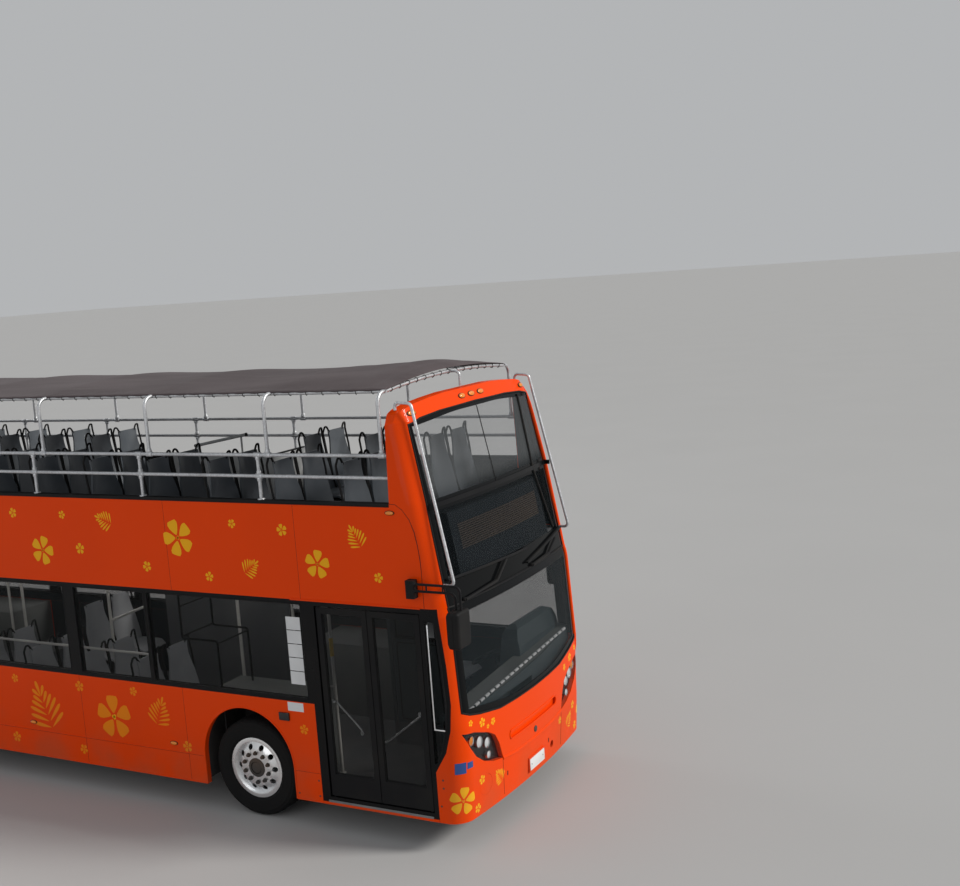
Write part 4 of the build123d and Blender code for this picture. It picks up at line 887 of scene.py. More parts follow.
bm = bmesh.new()
grid = ops.create_grid(bm, x_segments=243, y_segments=48, size=1.0)["verts"]
uv_layer = bm.loops.layers.uv.new("UVMap")
for face in bm.faces:
    for loop in face.loops:
        loop[uv_layer].uv = (loop.vert.co.x * 4.87, loop.vert.co.y * 1.20)
for vert in grid:
    x = CLOTH_X0 + (vert.co.x + 1) / 2 * (CLOTH_X1 - CLOTH_X0)
    t = vert.co.y
    pucker = cos(2 * pi * x / TIE_PITCH)
    if abs(t) < HEM_SHARE:
        y = t / HEM_SHARE * EAVE_Y
        share = 1 - (y / EAVE_Y) ** 2
        z = EAVE_Z + CURL_R + along(CROWN, x, smooth=True) * share
        z -= between_bows(x) * 0.022 * share**0.6
        z += 0.0035 * pucker * max(abs(y / EAVE_Y) - 0.86, 0) / 0.14
        z += 0.003 * sin(x * 5.3 + y * 3.1) * share
    else:
        turn = (abs(t) - HEM_SHARE) / (1 - HEM_SHARE) * radians(74 + 10 * pucker)
        y = (1 if t > 0 else -1) * (EAVE_Y + CURL_R * sin(turn))
        z = EAVE_Z + CURL_R * cos(turn)
    vert.co = place(x, y, z - max(x - 1.745, 0) * 0.5)
canopy = finished("canopy_cloth", bm, canopy_fabric, "canopy_fabric", 60, ["canopy"])
skin = canopy.modifiers.new("cloth thickness", "SOLIDIFY")
skin.thickness = 0.0016
skin.offset = 1.0

# %% [markdown]
# Short ties of cord pass round the eave tubes and the front bow and hold the cloth's hem. Each is a
# small closed ring, a little askew, as a hand would leave it. Cast sleeves join the rails.

# %% Ties and clamps
rope = grained("tie_cord", (0.028, 0.026, 0.026), (0.06, 0.055, 0.052), 0.85, 1500, 0.0006)
TIE_R = 0.0205
FRONT_TIES = 15
RAIL_Y, MID_RAIL_Z, TOP_RAIL_Z = 1.243, 3.327, 3.521
STANCHIONS = [0.401 - 1.430 * i for i in range(7)]


def circle(radius, count, z=0.0):
    """Points round the origin."""
    return [
        Vector((radius * cos(2 * pi * i / count), radius * sin(2 * pi * i / count), z))
        for i in range(count)
    ]


def tie(bm):
    """A closed ring of cord, with its knot."""
    tube(bm, circle(TIE_R, 14), 0.0028, 5, closed=True)
    knot = [(0.0003, -0.005), (0.0045, -0.002), (0.0045, 0.002), (0.0003, 0.005)]
    turned(bm, knot, 6, (0, 1, 0), Vector((0, -0.0215, 0)))


def clamp(bm, length, radius):
    """A cast sleeve round a tube, with rounded ends."""
    h = length / 2
    half = [(TUBE_R, h), (radius * 0.9, h), (radius, h - 0.006)]
    turned(bm, [(r, -y) for r, y in half] + half[::-1], 16)


tie_places = []
for i in range(int((CLOTH_X1 - CLOTH_X0) / TIE_PITCH)):
    x = CLOTH_X0 + (i + 0.5) * TIE_PITCH
    for side in SIDES:
        tie_places.append(facing((1, 0.25 * sin(i * 2.4), 0), (x, side * EAVE_Y, EAVE_Z)))
for i in range(FRONT_TIES):
    y = -1.02 + 2.04 * i / (FRONT_TIES - 1)
    z = EAVE_Z + 0.055 * (1 - (y / 1.103) ** 2)
    tie_places.append(facing((0.25 * sin(i * 2.4), 1, -0.1 * y), (BOWS[0], y, z)))
ties = copies(bmesh.new(), template(tie), tie_places)
finished("canopy_ties", ties, rope, "canopy_fabric", 60)

# kind: length, radius
CLAMPS = {
    "tee": (0.082, 0.0245), "post": (0.034, 0.0235), "foot": (0.014, 0.036),
    "bow": (0.070, 0.0255),
}
clamp_places = {kind: [] for kind in CLAMPS}
for side in SIDES:
    y = side * RAIL_Y
    spots = [("tee", (1, 0, 0), x, z) for x in STANCHIONS for z in (MID_RAIL_Z, TOP_RAIL_Z)]
    for z in (MID_RAIL_Z + 0.030, MID_RAIL_Z - 0.030, TOP_RAIL_Z - 0.030):
        spots += [("post", (0, 0, 1), x, z) for x in STANCHIONS]
    spots += [("foot", (0, 0, 1), x, 3.115) for x in STANCHIONS]
    spots += [("bow", (1, 0, 0), x, TOP_RAIL_Z) for x in BOWS]
    spots += [("post", (0, 0, 1), x, TOP_RAIL_Z + 0.034) for x in BOWS]
    for kind, way, x, z in spots:
        clamp_places[kind].append(facing(way, (x, y, z)))
bm = bmesh.new()
for kind, size in CLAMPS.items():
    copies(bm, template(clamp, *size), clamp_places[kind])
finished("rail_clamps", bm, galvanised, "galvanised")

# %% [markdown]
# A seat is one moulded shell with a handle on each side. Seen from behind, the shell's upper edge
# dips between two ears, and a tube runs up each side, stands clear of the shell as a handle and
# meets the ear. The shell starts as a grid, which is bent to that outline, dished, and given its
# thickness; one finished seat is then copied to every place.

# %% Seat shell and frame
SEAT_W, PAN_L, PAN_H = 0.430, 0.430, 0.430
BACK_UP, BACK_LEAN = 0.680, 0.110
# share of the back's height, half its width there
BACK_HALF = [
    (0, 0.205), (0.25, 0.205), (0.45, 0.194), (0.60, 0.168), (0.74, 0.148), (0.86, 0.144),
    (0.95, 0.150), (1, 0.150),
]


def seat_back_point(u, v, out=0.0):
    """A place on the back of a seat whose pan ends at x = 0: u across from -1 to 1, v up."""
    dip = (0.056 - 0.028 * u**6) * max(v - 0.45, 0) / 0.55
    dip += 0.030 * (max(abs(u) - 0.72, 0) / 0.28) ** 2 * max(v - 0.80, 0) / 0.20
    dish = 0.030 * (u * u) * (0.4 + 0.6 * v)
    x = -0.010 - BACK_LEAN * v - 0.020 * sin(pi * min(v, 1)) + dish + out
    return Vector((x, u * along(BACK_HALF, v), PAN_H - 0.02 + v * BACK_UP - dip))


def seat_pan_point(share, v):
    u = 2 * share - 1
    width = SEAT_W / 2 * (0.97 - 0.10 * max(v - 0.8, 0) / 0.2 * abs(u))
    z = PAN_H - 0.018 - 0.018 * (1 - u * u) * sin(pi * min(v * 1.1, 1))
    z -= 0.045 * max(v - 0.82, 0) / 0.18
    return Vector((-0.02 + v * (PAN_L - 0.01), u * width, z))


def seat_shell(bm):
    sheet(bm, 12, 18, lambda u, v: seat_back_point(2 * u - 1, v), 0.014, (1, 0, 0))
    sheet(bm, 12, 12, seat_pan_point, 0.022, (0, 0, 1))


def seat_frame(bm):
    foot, under = 0.012, PAN_H - 0.05
    for side in SIDES:
        ear = seat_back_point(side, 1.0)
        points = [Vector((0.02, side * 0.205, under)), seat_back_point(side, 0.30, -0.012)]
        for x, y, z in (
            (-0.082, 0.214, PAN_H + 0.42), (-0.108, 0.210, PAN_H + 0.59),
            (ear.x - 0.002, 0.192, ear.z + 0.054), (ear.x - 0.002, 0.155, ear.z + 0.048),
            (ear.x, 0.120, ear.z - 0.014),
        ):
            points.append(Vector((x, side * y, z)))
        tube(bm, bend_line(points, 0.05, 3), 0.0105, 8)
        y = side * 0.15
        for top, low in ((0.30, 0.20), (0.02, 0.16)):
            tube(bm, [Vector((top, y, under)), Vector((low, y, foot))], 0.014, 8)
        block(bm, Vector((0.10, y - 0.02, 0)), Vector((0.26, y + 0.02, foot)), 0.003)
    low, high = Vector((0.0, -0.19, PAN_H - 0.065)), Vector((0.34, 0.19, PAN_H - 0.045))
    block(bm, low, high, 0.004)


print("seat helpers ready")

# %% Seats in their rows
LOW_FLOOR, REAR_FLOOR, CAB_FLOOR = 0.345, 0.640, 0.560
WINDOW_SEAT_Y, AISLE_SEAT_Y, ROW_PITCH = 0.985, 0.543, 0.760


def row_seats(floor_z, first_x, rows, left_out):
    """Rows of two and two; some rows on the left are left out, where the stair is."""
    return [
        (first_x - row * ROW_PITCH, side * y, floor_z)
        for row in range(rows) for side in SIDES if side < 0 or row not in left_out
        for y in (WINDOW_SEAT_Y, AISLE_SEAT_Y)
    ]


upper_seats = row_seats(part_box("upper_floor")[1].z, 1.755, 13, (3, 4, 5))
lower_seats = row_seats(LOW_FLOOR, -0.95, 4, (0, 1, 2))
lower_seats += [(-6.374, y, REAR_FLOOR) for y in (-0.86, -0.42, 0.42, 0.86)]
lower_seats += [(1.430, 0.640, CAB_FLOOR)]
seat_silver = grained(
    "seat_silver", (0.36, 0.37, 0.39), (0.44, 0.45, 0.47), 0.34, 500, 0.0005, coat=0.2
)
shell_mesh, frame_mesh = template(seat_shell), template(seat_frame)
for name, spots, finish in (
    ("upper", upper_seats, seat_plastic), ("lower", lower_seats, seat_silver),
):
    places = [Matrix.Translation(place(x - PAN_L, y, z)) for x, y, z in spots]
    upper = name == "upper"
    for part, mesh, coat, slot, node in (
        ("_seat_shells", shell_mesh, finish, "seat_plastic", "seat_backs"),
        ("_seat_frames", frame_mesh, trim_black, "dark_metal", "seat_pans"),
    ):
        bm = copies(bmesh.new(), mesh, places)
        finished(name + part, bm, coat, slot, 50, [node] if upper else ())
print("seats:", len(upper_seats), "above,", len(lower_seats), "below")

# %% [markdown]
# Everything that lies on the rounded front needs the shape of that front. It is a stack of
# sections: straight sides, two corner arcs and one wide arc, the same ones that the solids were
# made from. One function gives the place for a height and a distance from the middle; the other
# walks round the corner, so a picture can lie on it without being squeezed.

# %% The rounded front
FRONT_OVERHANG = 2.410
# height, setback of the middle, half width, radius of the front, radius of the corner
SECTIONS = [
    (0.265, 0.038, 1.275, 9.0, 0.190), (0.650, 0.012, 1.275, 9.0, 0.190),
    (1.120, 0.000, 1.275, 9.0, 0.170), (1.780, 0.038, 1.275, 9.8, 0.170),
    (2.120, 0.058, 1.275, 10.3, 0.170), (2.199, 0.082, 1.275, 10.5, 0.170),
    (3.107, 0.245, 1.275, 13.0, 0.170), (3.800, 0.390, 1.240, 16.0, 0.180),
    (3.970, 0.475, 1.220, 16.0, 0.180),
]


def section_at(z, out):
    """The section at a height, moved outwards: half width, radii, middles of the arcs."""
    for low, high in zip(SECTIONS, SECTIONS[1:]):
        if z <= high[0]:
            break
    share = (z - low[0]) / (high[0] - low[0])
    setback, half, big, small = (a + (b - a) * share for a, b in zip(low[1:], high[1:]))
    half, big, small = half + out, big + out, small + out
    across = half - small
    reach = sqrt((big - small) ** 2 - across**2)
    return half, big, small, across, reach, FRONT_OVERHANG + out - setback - big


def on_front(y, z, out=0.0):
    """The place on the front at a height and a distance from the middle."""
    half, big, small, across, reach, big_x = section_at(z, out)
    if abs(y) <= across * big / (big - small):
        return place(big_x + sqrt(big**2 - y**2), y, z)
    return place(big_x + reach + sqrt(max(small**2 - (abs(y) - across) ** 2, 0)), y, z)


def round_corner(walk, z, out=0.0, side=-1):
    """Walks along the surface from where the corner begins, positive towards the front."""
    half, big, small, across, reach, big_x = section_at(z, out)
    middle = atan2(across, reach)
    arc = small * (pi / 2 - middle)
    if walk <= 0:
        x, y = big_x + reach + walk, half
    elif walk <= arc:
        angle = pi / 2 - walk / small
        x, y = big_x + reach + small * cos(angle), across + small * sin(angle)
    else:
        angle = middle - (walk - arc) / big
        x, y = big_x + big * cos(angle), big * sin(angle)
    return place(x, side * y, z)


print("front at waist height:", tuple(round(v, 3) for v in on_front(0, 1.12)))

# %% [markdown]
# Thin sheets, seals and lamp covers lie on that front. A panel is a grid between a lower and an
# upper line, laid on the surface and given a thickness. A bead is a tube along a line on the
# surface: its corners are only bent once the line has enough points.

# %% Panels and beads on the front
FORWARDS, BACKWARDS = (1, 0, 0), (-1, 0, 0)


def front_panel(bm, low_line, high_line, out, thick, columns=24, rows=8):
    """A sheet on the front between two lines of y, z pairs that share their ends' y."""
    y0, y1 = low_line[0][0], low_line[-1][0]

    def lay(u, v):
        y = y0 + u * (y1 - y0)
        low, high = along(low_line, y), along(high_line, y)
        return on_front(y, low + v * (high - low), out)

    sheet(bm, columns, rows, lay, thick, BACKWARDS)


def front_line(points, out, step=0.06):
    """A line on the front through y, z points, with no run longer than step."""
    line = []
    for a, b in zip(points, points[1:]):
        a, b = Vector(a), Vector(b)
        count = max(1, ceil((b - a).length / step))
        line += [a.lerp(b, i / count) for i in range(count)]
    return [on_front(p.x, p.y, out) for p in line + [Vector(points[-1])]]


def front_bead(bm, points, radius, out=0.0, sides=8, closed=False):
    """A round bead along y, z points on the front."""
    line = front_line(points + points[:1] if closed else points, out)
    tube(bm, line[:-1] if closed else line, radius, sides, closed)


print("front panel helpers ready")

# %% [markdown]
# The panels carry printed flowers and leaves. Such film is about a tenth of a millimetre thick; a
# little more keeps it clear of the paint under it. Every motif is made of petals: one round sheet
# stretched to a drop, laid flat in the motif's own plane. A function then lays that plane on the
# side or round the corner. Five broad petals make a flower, pairs of narrow ones make a leaf.

# %% Petals, flowers and leaves
FILM_OUT, FILM_THICK = 0.0006, 0.0008
LEAF_PAIRS = 6


def petal(bm, u, v, angle, start, length, width, notch=0.0):
    """One drop-shaped petal in the motif's plane, from start to length along an angle."""
    made = ops.create_circle(bm, cap_ends=True, cap_tris=True, segments=14, radius=1.0)["verts"]
    c, s = cos(angle), sin(angle)
    for vert in made:
        share = (1 + vert.co.x) / 2
        cut = notch * share**6 * (1 - min(abs(vert.co.y) * 2.2, 1))
        reach = start + (length - start) * (share - cut)
        side = vert.co.y * width * (0.30 + 0.85 * share)
        vert.co = (u + reach * c - side * s, v + reach * s + side * c, 0)


def lay_film(target, motif, lay, cuts=0):
    """Lays a motif on a surface, facing outwards, as a closed thin film."""
    if cuts:
        ops.subdivide_edges(motif, edges=motif.edges, cuts=cuts, use_grid_fill=True)
    motif.faces.ensure_lookup_table()
    probe = motif.faces[0].calc_center_median()
    outwards = lay(probe.x, probe.y, 0.01) - lay(probe.x, probe.y, 0)
    for vert in motif.verts:
        vert.co = lay(vert.co.x, vert.co.y, FILM_OUT)
    motif.normal_update()
    if motif.faces[0].normal.dot(outwards) < 0:
        ops.reverse_faces(motif, faces=motif.faces)
    ops.solidify(motif, geom=motif.faces[:], thickness=FILM_THICK)
    target.from_mesh(as_mesh(motif, "film"))


def flowers(rows, target, centre_target, lay, cuts=0):
    for u, v, size, degrees in rows:
        petals, centre = works(2)
        turn = radians(degrees)
        for i in range(5):
            petal(petals, u, v, turn + i * 2 * pi / 5, size * 0.16, size, size * 0.40, 0.16)
        for i in range(3):
            angle = turn + 0.5 + i * 2 * pi / 3
            petal(centre, u, v, angle, -size * 0.06, size * 0.125, size * 0.085)
        lay_film(target, petals, lay, cuts)
        lay_film(centre_target, centre, lay, cuts)


def leaves(rows, target, lay, cuts=0):
    """Pairs of narrow leaflets on both sides of a middle line, and one at its tip."""
    for u, v, size, degrees in rows:
        leaflets = bmesh.new()
        turn = radians(degrees)
        c, s = cos(turn), sin(turn)
        for i in range(LEAF_PAIRS):
            t = i / (LEAF_PAIRS - 1)
            stem = size * (-0.55 + 0.85 * t)
            length = size * (0.50 + 0.22 * sin(pi * min(t + 0.25, 1)) - 0.14 * t)
            for side in SIDES:
                angle = turn + side * radians(64 - 26 * t)
                at = (u + stem * c, v + stem * s)
                petal(leaflets, *at, angle, size * 0.03, length, size * 0.062)
        tip = size * 0.34
        petal(leaflets, u + tip * c, v + tip * s, turn, 0, size * 0.42, size * 0.07)
        lay_film(target, leaflets, lay, cuts)


print("motifs ready")

# %% Motifs on the sides
# x from the front axle, height, size, turn in degrees
UPPER_FLOWERS = [
    (0.98, 2.54, 0.140, 10), (-0.62, 2.72, 0.190, 40), (-2.45, 2.52, 0.160, 0),
    (-4.05, 2.80, 0.185, 25), (-5.55, 2.52, 0.160, 50), (-7.25, 2.76, 0.190, 15),
    (1.62, 2.45, 0.048, 0), (0.62, 2.84, 0.060, 30), (0.05, 2.88, 0.045, 60),
    (-0.28, 2.36, 0.050, 10), (-1.05, 2.42, 0.055, 45), (-1.92, 2.56, 0.060, 20),
    (-2.12, 2.90, 0.045, 0), (-2.82, 2.90, 0.055, 35), (-3.55, 2.38, 0.050, 15),
    (-4.42, 2.42, 0.060, 5), (-5.15, 2.90, 0.050, 25), (-5.98, 2.60, 0.055, 40),
    (-6.75, 2.42, 0.060, 20), (-7.62, 2.92, 0.050, 50),
]
UPPER_LEAVES = [
    (1.42, 2.80, 0.17, 120), (0.22, 2.47, 0.16, 35), (-1.55, 2.86, 0.17, 160),
    (-3.20, 2.60, 0.19, 60), (-4.85, 2.58, 0.16, 140), (-6.35, 2.84, 0.18, 20),
    (-7.85, 2.46, 0.17, 100),
]
LOWER_FLOWERS = [
    (-1.72, 0.822, 0.24, 20), (-3.62, 0.86, 0.26, 0), (-4.72, 0.78, 0.20, 40),
    (-7.45, 0.84, 0.25, 30), (0.66, 0.96, 0.050, 10), (-0.78, 0.62, 0.060, 30),
    (-1.42, 1.12, 0.050, 0), (-2.16, 1.10, 0.060, 25), (-2.20, 0.42, 0.055, 50),
    (-3.18, 0.44, 0.060, 15), (-3.10, 1.10, 0.050, 35), (-4.20, 0.60, 0.055, 5),
    (-5.02, 1.06, 0.060, 45), (-6.55, 1.08, 0.050, 20), (-7.00, 1.06, 0.045, 60),
    (-7.92, 0.46, 0.060, 10),
]
LOWER_LEAVES = [
    (-1.10, 0.93, 0.24, 70), (-2.70, 0.81, 0.40, 110), (-4.28, 1.00, 0.20, 30),
    (-6.86, 0.78, 0.34, 80),
]
yellow, gold = works(2)
for side in SIDES:
    def lay_side(u, v, out, side=side):
        return place(u, side * (HALF_WIDTH + out), v)

    flowers(UPPER_FLOWERS, yellow, gold, lay_side)
    leaves(UPPER_LEAVES, yellow, lay_side)
    flowers(LOWER_FLOWERS, gold, yellow, lay_side)
    leaves(LOWER_LEAVES, gold, lay_side)
print("flowers on each side:", len(UPPER_FLOWERS) + len(LOWER_FLOWERS))

# %% Motifs round the front
# walk from where the corner begins, height, size, turn in degrees
CORNER_FLOWERS = [(0.155, 0.470, 0.135, 10), (0.40, 0.585, 0.045, 30), (0.33, 0.345, 0.045, 0)]
# distance from the middle, height, size, turn in degrees
FRONT_LEAVES = [(-0.70, 0.505, 0.13, 130), (0.86, 0.47, 0.13, 50)]
FRONT_FLOWERS = [(-0.860, 1.035, 0.022, 0), (0.60, 0.56, 0.040, 10)]
for side in SIDES:
    FRONT_FLOWERS += [(side * 1.115, 1.150, 0.030, 0), (side * 0.945, 1.100, 0.045, 20)]
    FRONT_FLOWERS += [(side * 0.775, 1.052, 0.036, 50)]
    flowers(
        CORNER_FLOWERS, yellow, gold, lambda u, v, out, side=side: round_corner(u, v, out, side), 1
    )
flowers(FRONT_FLOWERS, yellow, gold, on_front)
leaves(FRONT_LEAVES, yellow, on_front, 1)
finished("printed_flowers_yellow", yellow, decal_yellow, "orange_paint", 60)
finished("printed_flowers_gold", gold, decal_gold, "orange_paint", 60)

# %% [markdown]
# A headlamp is a dark shell behind a clear cover that follows the front. In it sit a round amber
# lamp, two round bright ones and a small one below. The cover and the shell are the same panel, the
# first at the surface and the second deeper, and each lamp is a turned ring with a domed lens.

# %% Headlamps
LAMP_LOW = [
    (0.634, 0.655), (0.799, 0.687), (0.944, 0.742), (1.060, 0.829), (1.136, 0.931), (1.215, 1.078),
]
LAMP_HIGH = [
    (0.634, 0.656), (0.689, 0.817), (0.749, 0.916), (0.849, 0.975), (1.074, 1.055), (1.215, 1.079),
]
shell, cups, amber, bright, cover = works(5)
# lens, distance from the middle, height, radius, depth
ROUND_LAMPS = (
    (bright, 0.970, 0.925, 0.050, 0.036), (bright, 0.855, 0.880, 0.046, 0.034),
    (bright, 0.845, 0.765, 0.033, 0.030), (amber, 1.082, 0.972, 0.040, 0.040),
)
# share of the radius, height
CUP = [(0.55, -0.012), (0.93, 0.010), (1, 0.016), (1.06, 0.016), (1.06, -0.012)]
LENS = [(0.45, 0.017), (0.80, 0.012), (0.95, 0.006), (0.95, 0.002)]
for side in SIDES:
    low, high = (
        [(side * y, z) for y, z in line][::side] for line in (LAMP_LOW, LAMP_HIGH)
    )
    front_panel(shell, low, high, -0.046, 0.003, 28, 10)
    front_panel(cover, low, high, -0.0032, 0.003, 28, 10)
    for lens_work, y, z, radius, depth in ROUND_LAMPS:
        at = on_front(side * y, z, -depth)
        turned(cups, [(radius * r, h) for r, h in CUP], 28, FORWARDS, at)
        dome = [(0.0003, 0.019)] + [(radius * r, h) for r, h in LENS] + [(0.0003, 0.002)]
        turned(lens_work, dome, 28, FORWARDS, at)
finished("headlamp_shells", shell, lamp_black, "lamp_black", 40, ["headlamps"])
finished("headlamp_cups", cups, chrome, "polished_aluminium")
finished("headlamp_amber", amber, lens_amber, "lamp_black")
finished("headlamp_bright", bright, lens_clear, "lamp_black")
finished("headlamp_covers", cover, lens_cover, "clear_glass")

# %% [markdown]
# The bumper is a moulded skin in three lengths. A rounded lip runs from under one lamp, down and
# across under the slot, and up to the other; thin joints part the lengths. The slot has a rounded
# edge. The round pockets beside the plate are closed by covers in the body's colour. Along the
# joint over the lamps runs one more thin line.

# %% Bumper lines, slot and pocket covers
lip, seams, discs, marks = works(4)
LIP_LINE = [(-0.636, 0.648), (-0.40, 0.622), (0, 0.616), (0.40, 0.622), (0.636, 0.648)]
for rise, out, thick in ((0.0, 0.0, 0.010), (0.012, -0.002, 0.009)):
    front_bead(lip, [(y, z + rise) for y, z in LIP_LINE], thick, out)
JOINTS = [(0.640, 0.650), (0.632, 0.505), (0.618, 0.300)], [(1.205, 1.083), (1.262, 1.072)]
SLOT_END, SLOT_Z, SLOT_R = 0.458, 0.8175, 0.0425
slot_ring = []
for side, start in ((1, -90), (-1, 90)):
    for i in range(9):
        a = radians(start + 180 * i / 8)
        slot_ring.append((side * SLOT_END + SLOT_R * cos(a), SLOT_Z + SLOT_R * sin(a)))
front_bead(lip, slot_ring, 0.0075, 0.001, closed=True)
for side in SIDES:
    for line in JOINTS:
        front_bead(seams, [(side * y, z) for y, z in line], 0.0022, -0.0006, 6)
    disc = ops.create_circle(discs, cap_ends=True, cap_tris=True, segments=40, radius=0.0935)
    for vert in disc["verts"]:
        vert.co = on_front(side * 0.920 + vert.co.x, 0.515 + vert.co.y, -0.0042)
    ops.recalc_face_normals(discs, faces=faces_at(disc["verts"]))
ops.solidify(discs, geom=discs.faces[:], thickness=0.004)
for y, z in ((0.300, 0.470), (-0.560, 0.480)):
    front_bead(marks, [(y, z - 0.020), (y, z + 0.020)], 0.008, -0.003)
finished("bumper_lips", lip, orange_paint, "orange_paint", 60)
finished("bumper_joints", seams, trim_black, "orange_paint", 60)
finished("round_pocket_covers", discs, orange_paint, "orange_paint")
finished("bumper_slots", marks, lamp_black, "lamp_black")

# %% [markdown]
# The number plate is left blank: a white sheet with a pressed edge on the flat pad of the bumper.
# Over it sits a plain round cap. Two blank blue labels lie on the corner.

# %% Blank plate, cap and labels
plate_white = grained(
    "plate_white", (0.72, 0.73, 0.74), (0.66, 0.66, 0.66), 0.35, 400, 0.0003, coat=0.2
)
label_white = grained("blank_labels", (0.66, 0.67, 0.68), (0.58, 0.59, 0.60), 0.4, 500, 0.0002)
label_blue = grained(
    "blank_blue_label", (0.012, 0.055, 0.22), (0.016, 0.065, 0.25), 0.35, 500, 0.0002, coat=0.2
)
PAD = FRONT_OVERHANG - 0.014
PLATE_HALF, PLATE_LOW, PLATE_HIGH, PLATE_EDGE = 0.155, 0.340, 0.450, 0.005
plate, screws, labels = works(3)
block(plate, (PAD + 0.0005, -PLATE_HALF, PLATE_LOW), (PAD + 0.003, PLATE_HALF, PLATE_HIGH), 0.001)
for y0, z0, y1, z1 in (
    (-PLATE_HALF, PLATE_LOW, PLATE_HALF, PLATE_LOW + PLATE_EDGE),
    (-PLATE_HALF, PLATE_HIGH - PLATE_EDGE, PLATE_HALF, PLATE_HIGH),
    (-PLATE_HALF, PLATE_LOW, -PLATE_HALF + PLATE_EDGE, PLATE_HIGH),
    (PLATE_HALF - PLATE_EDGE, PLATE_LOW, PLATE_HALF, PLATE_HIGH),
):
    block(plate, (PAD + 0.003, y0, z0), (PAD + 0.0045, y1, z1), 0.0006)
for y in (-0.12, 0.12):
    at = (PAD + 0.003, y, 0.395)
    turned(screws, [(0.0055, 0), (0.0055, 0.002), (0.0003, 0.0032)], 12, FORWARDS, at)
cap = [(0.030, 0), (0.030, 0.005), (0.024, 0.008), (0.0003, 0.009)]
turned(screws, cap, 28, FORWARDS, on_front(0, 0.700))
for walk, z, wide, high in ((0.135, 0.772, 0.105, 0.100), (0.232, 0.784, 0.066, 0.058)):
    def lay_label(u, v):
        return round_corner(walk + (u - 0.5) * wide, z + (v - 0.5) * high, FILM_OUT)

    sheet(labels, 6, 2, lay_label, FILM_THICK, (1, -1, 0))
finished("blank_plate", plate, plate_white, "polished_aluminium")
finished("plate_screws_and_cap", screws, cast_iron, "dark_metal")
finished("blank_blue_labels", labels, label_blue, "orange_paint")

# %% [markdown]
# A black rubber seal closes the gap round each front screen. It is a bead along the opening's own
# outline, which is the outline that was cut into the solids. A rounded moulding lies on the far
# pillar. The wipers hang from two spindles under the upper screens: each is a bent arm, a blade
# holder and a thin rubber blade.

# %% Screen seals and pillar moulding
LOWER_EDGE = [
    (0.0, 1.118), (0.340, 1.122), (0.640, 1.132), (0.960, 1.188), (1.110, 1.226), (1.196, 1.266),
    (1.196, 1.50), (1.196, 1.85), (1.192, 2.197),
]
UPPER_EDGE = [
    (1.186, 2.203), (1.181, 2.62), (1.176, 3.044), (1.160, 3.42), (1.146, 3.775), (0.972, 3.808),
    (0.634, 3.829), (0, 3.837),
]
PILLAR_EDGE = [
    (1.208, 0.960), (1.208, 1.850), (1.204, 2.200), (1.194, 2.620), (1.172, 3.420), (1.156, 3.830),
]
seal, edge = works(2)
front_bead(seal, [(-y, z) for y, z in LOWER_EDGE[:0:-1]] + LOWER_EDGE, 0.009, -0.002)
front_bead(seal, [(-y, z) for y, z in UPPER_EDGE] + UPPER_EDGE[::-1], 0.009, -0.002)
front_bead(seal, [(-1.190, 2.199), (1.190, 2.199)], 0.010, -0.001)
front_bead(seal, [(0, 3.086), (0, 3.835)], 0.0045, -0.004, 6)
finished("screen_seals", seal, trim_black, "black_gloss", 60)
# The moulding is tucked into the pillar at both ends.
edge_line = []
for p in front_line(PILLAR_EDGE, 0):
    tuck = max(1.300 - p.z, p.z - 3.600, 0)
    edge_line.append(on_front(p.y, p.z, 0.006 - 0.40 * tuck**2))
tube(edge, edge_line, 0.021, 10)
finished("far_pillar_moulding", edge, orange_paint, "orange_paint", 60)

# %% Wipers
metal, rubber = works(2)
SPINDLE = [(0.020, -0.004), (0.020, 0.012), (0.014, 0.020), (0.0003, 0.021)]
HOLDER_CLIP = [(0.009, -0.008), (0.009, 0.008), (0.0003, 0.010)]
CLIPS = 6
# spindle, elbow and end of the arm, and the two ends of the blade
for spindle, elbow, hold, blade in (
    ((-0.964, 2.215), (-0.433, 2.250), (-0.20, 2.392), [(-1.150, 2.432), (0.251, 2.387)]),
    ((0.30, 2.215), (0.70, 2.235), (0.93, 2.330), [(0.20, 2.262), (1.140, 2.395)]),
):
    turned(metal, SPINDLE, 18, (1, 0, 0.1), on_front(*spindle))
    arm = [on_front(*spindle, 0.016), on_front(*elbow, 0.022), on_front(*hold, 0.026)]
    tube(metal, bend_line(arm, 0.05), 0.0150, 8)
    tube(metal, front_line(blade, 0.019, 0.08), 0.0120)
    for i in range(1, CLIPS):
        y, z = Vector(blade[0]).lerp(Vector(blade[1]), i / CLIPS)
        turned(metal, HOLDER_CLIP, 8, FORWARDS, on_front(y, z, 0.016))
    tube(rubber, front_line(blade, 0.004, 0.08), 0.0085)
finished("wiper_arms", metal, trim_black, "black_gloss")
finished("wiper_blades", rubber, tyre_rubber, "tyre_rubber")

# %% [markdown]
# Behind the upper screens stands the dark destination box with its lamp panel. The words are left
# out: the panel is a plain grid of unlit lamps in front of a dark sheet.

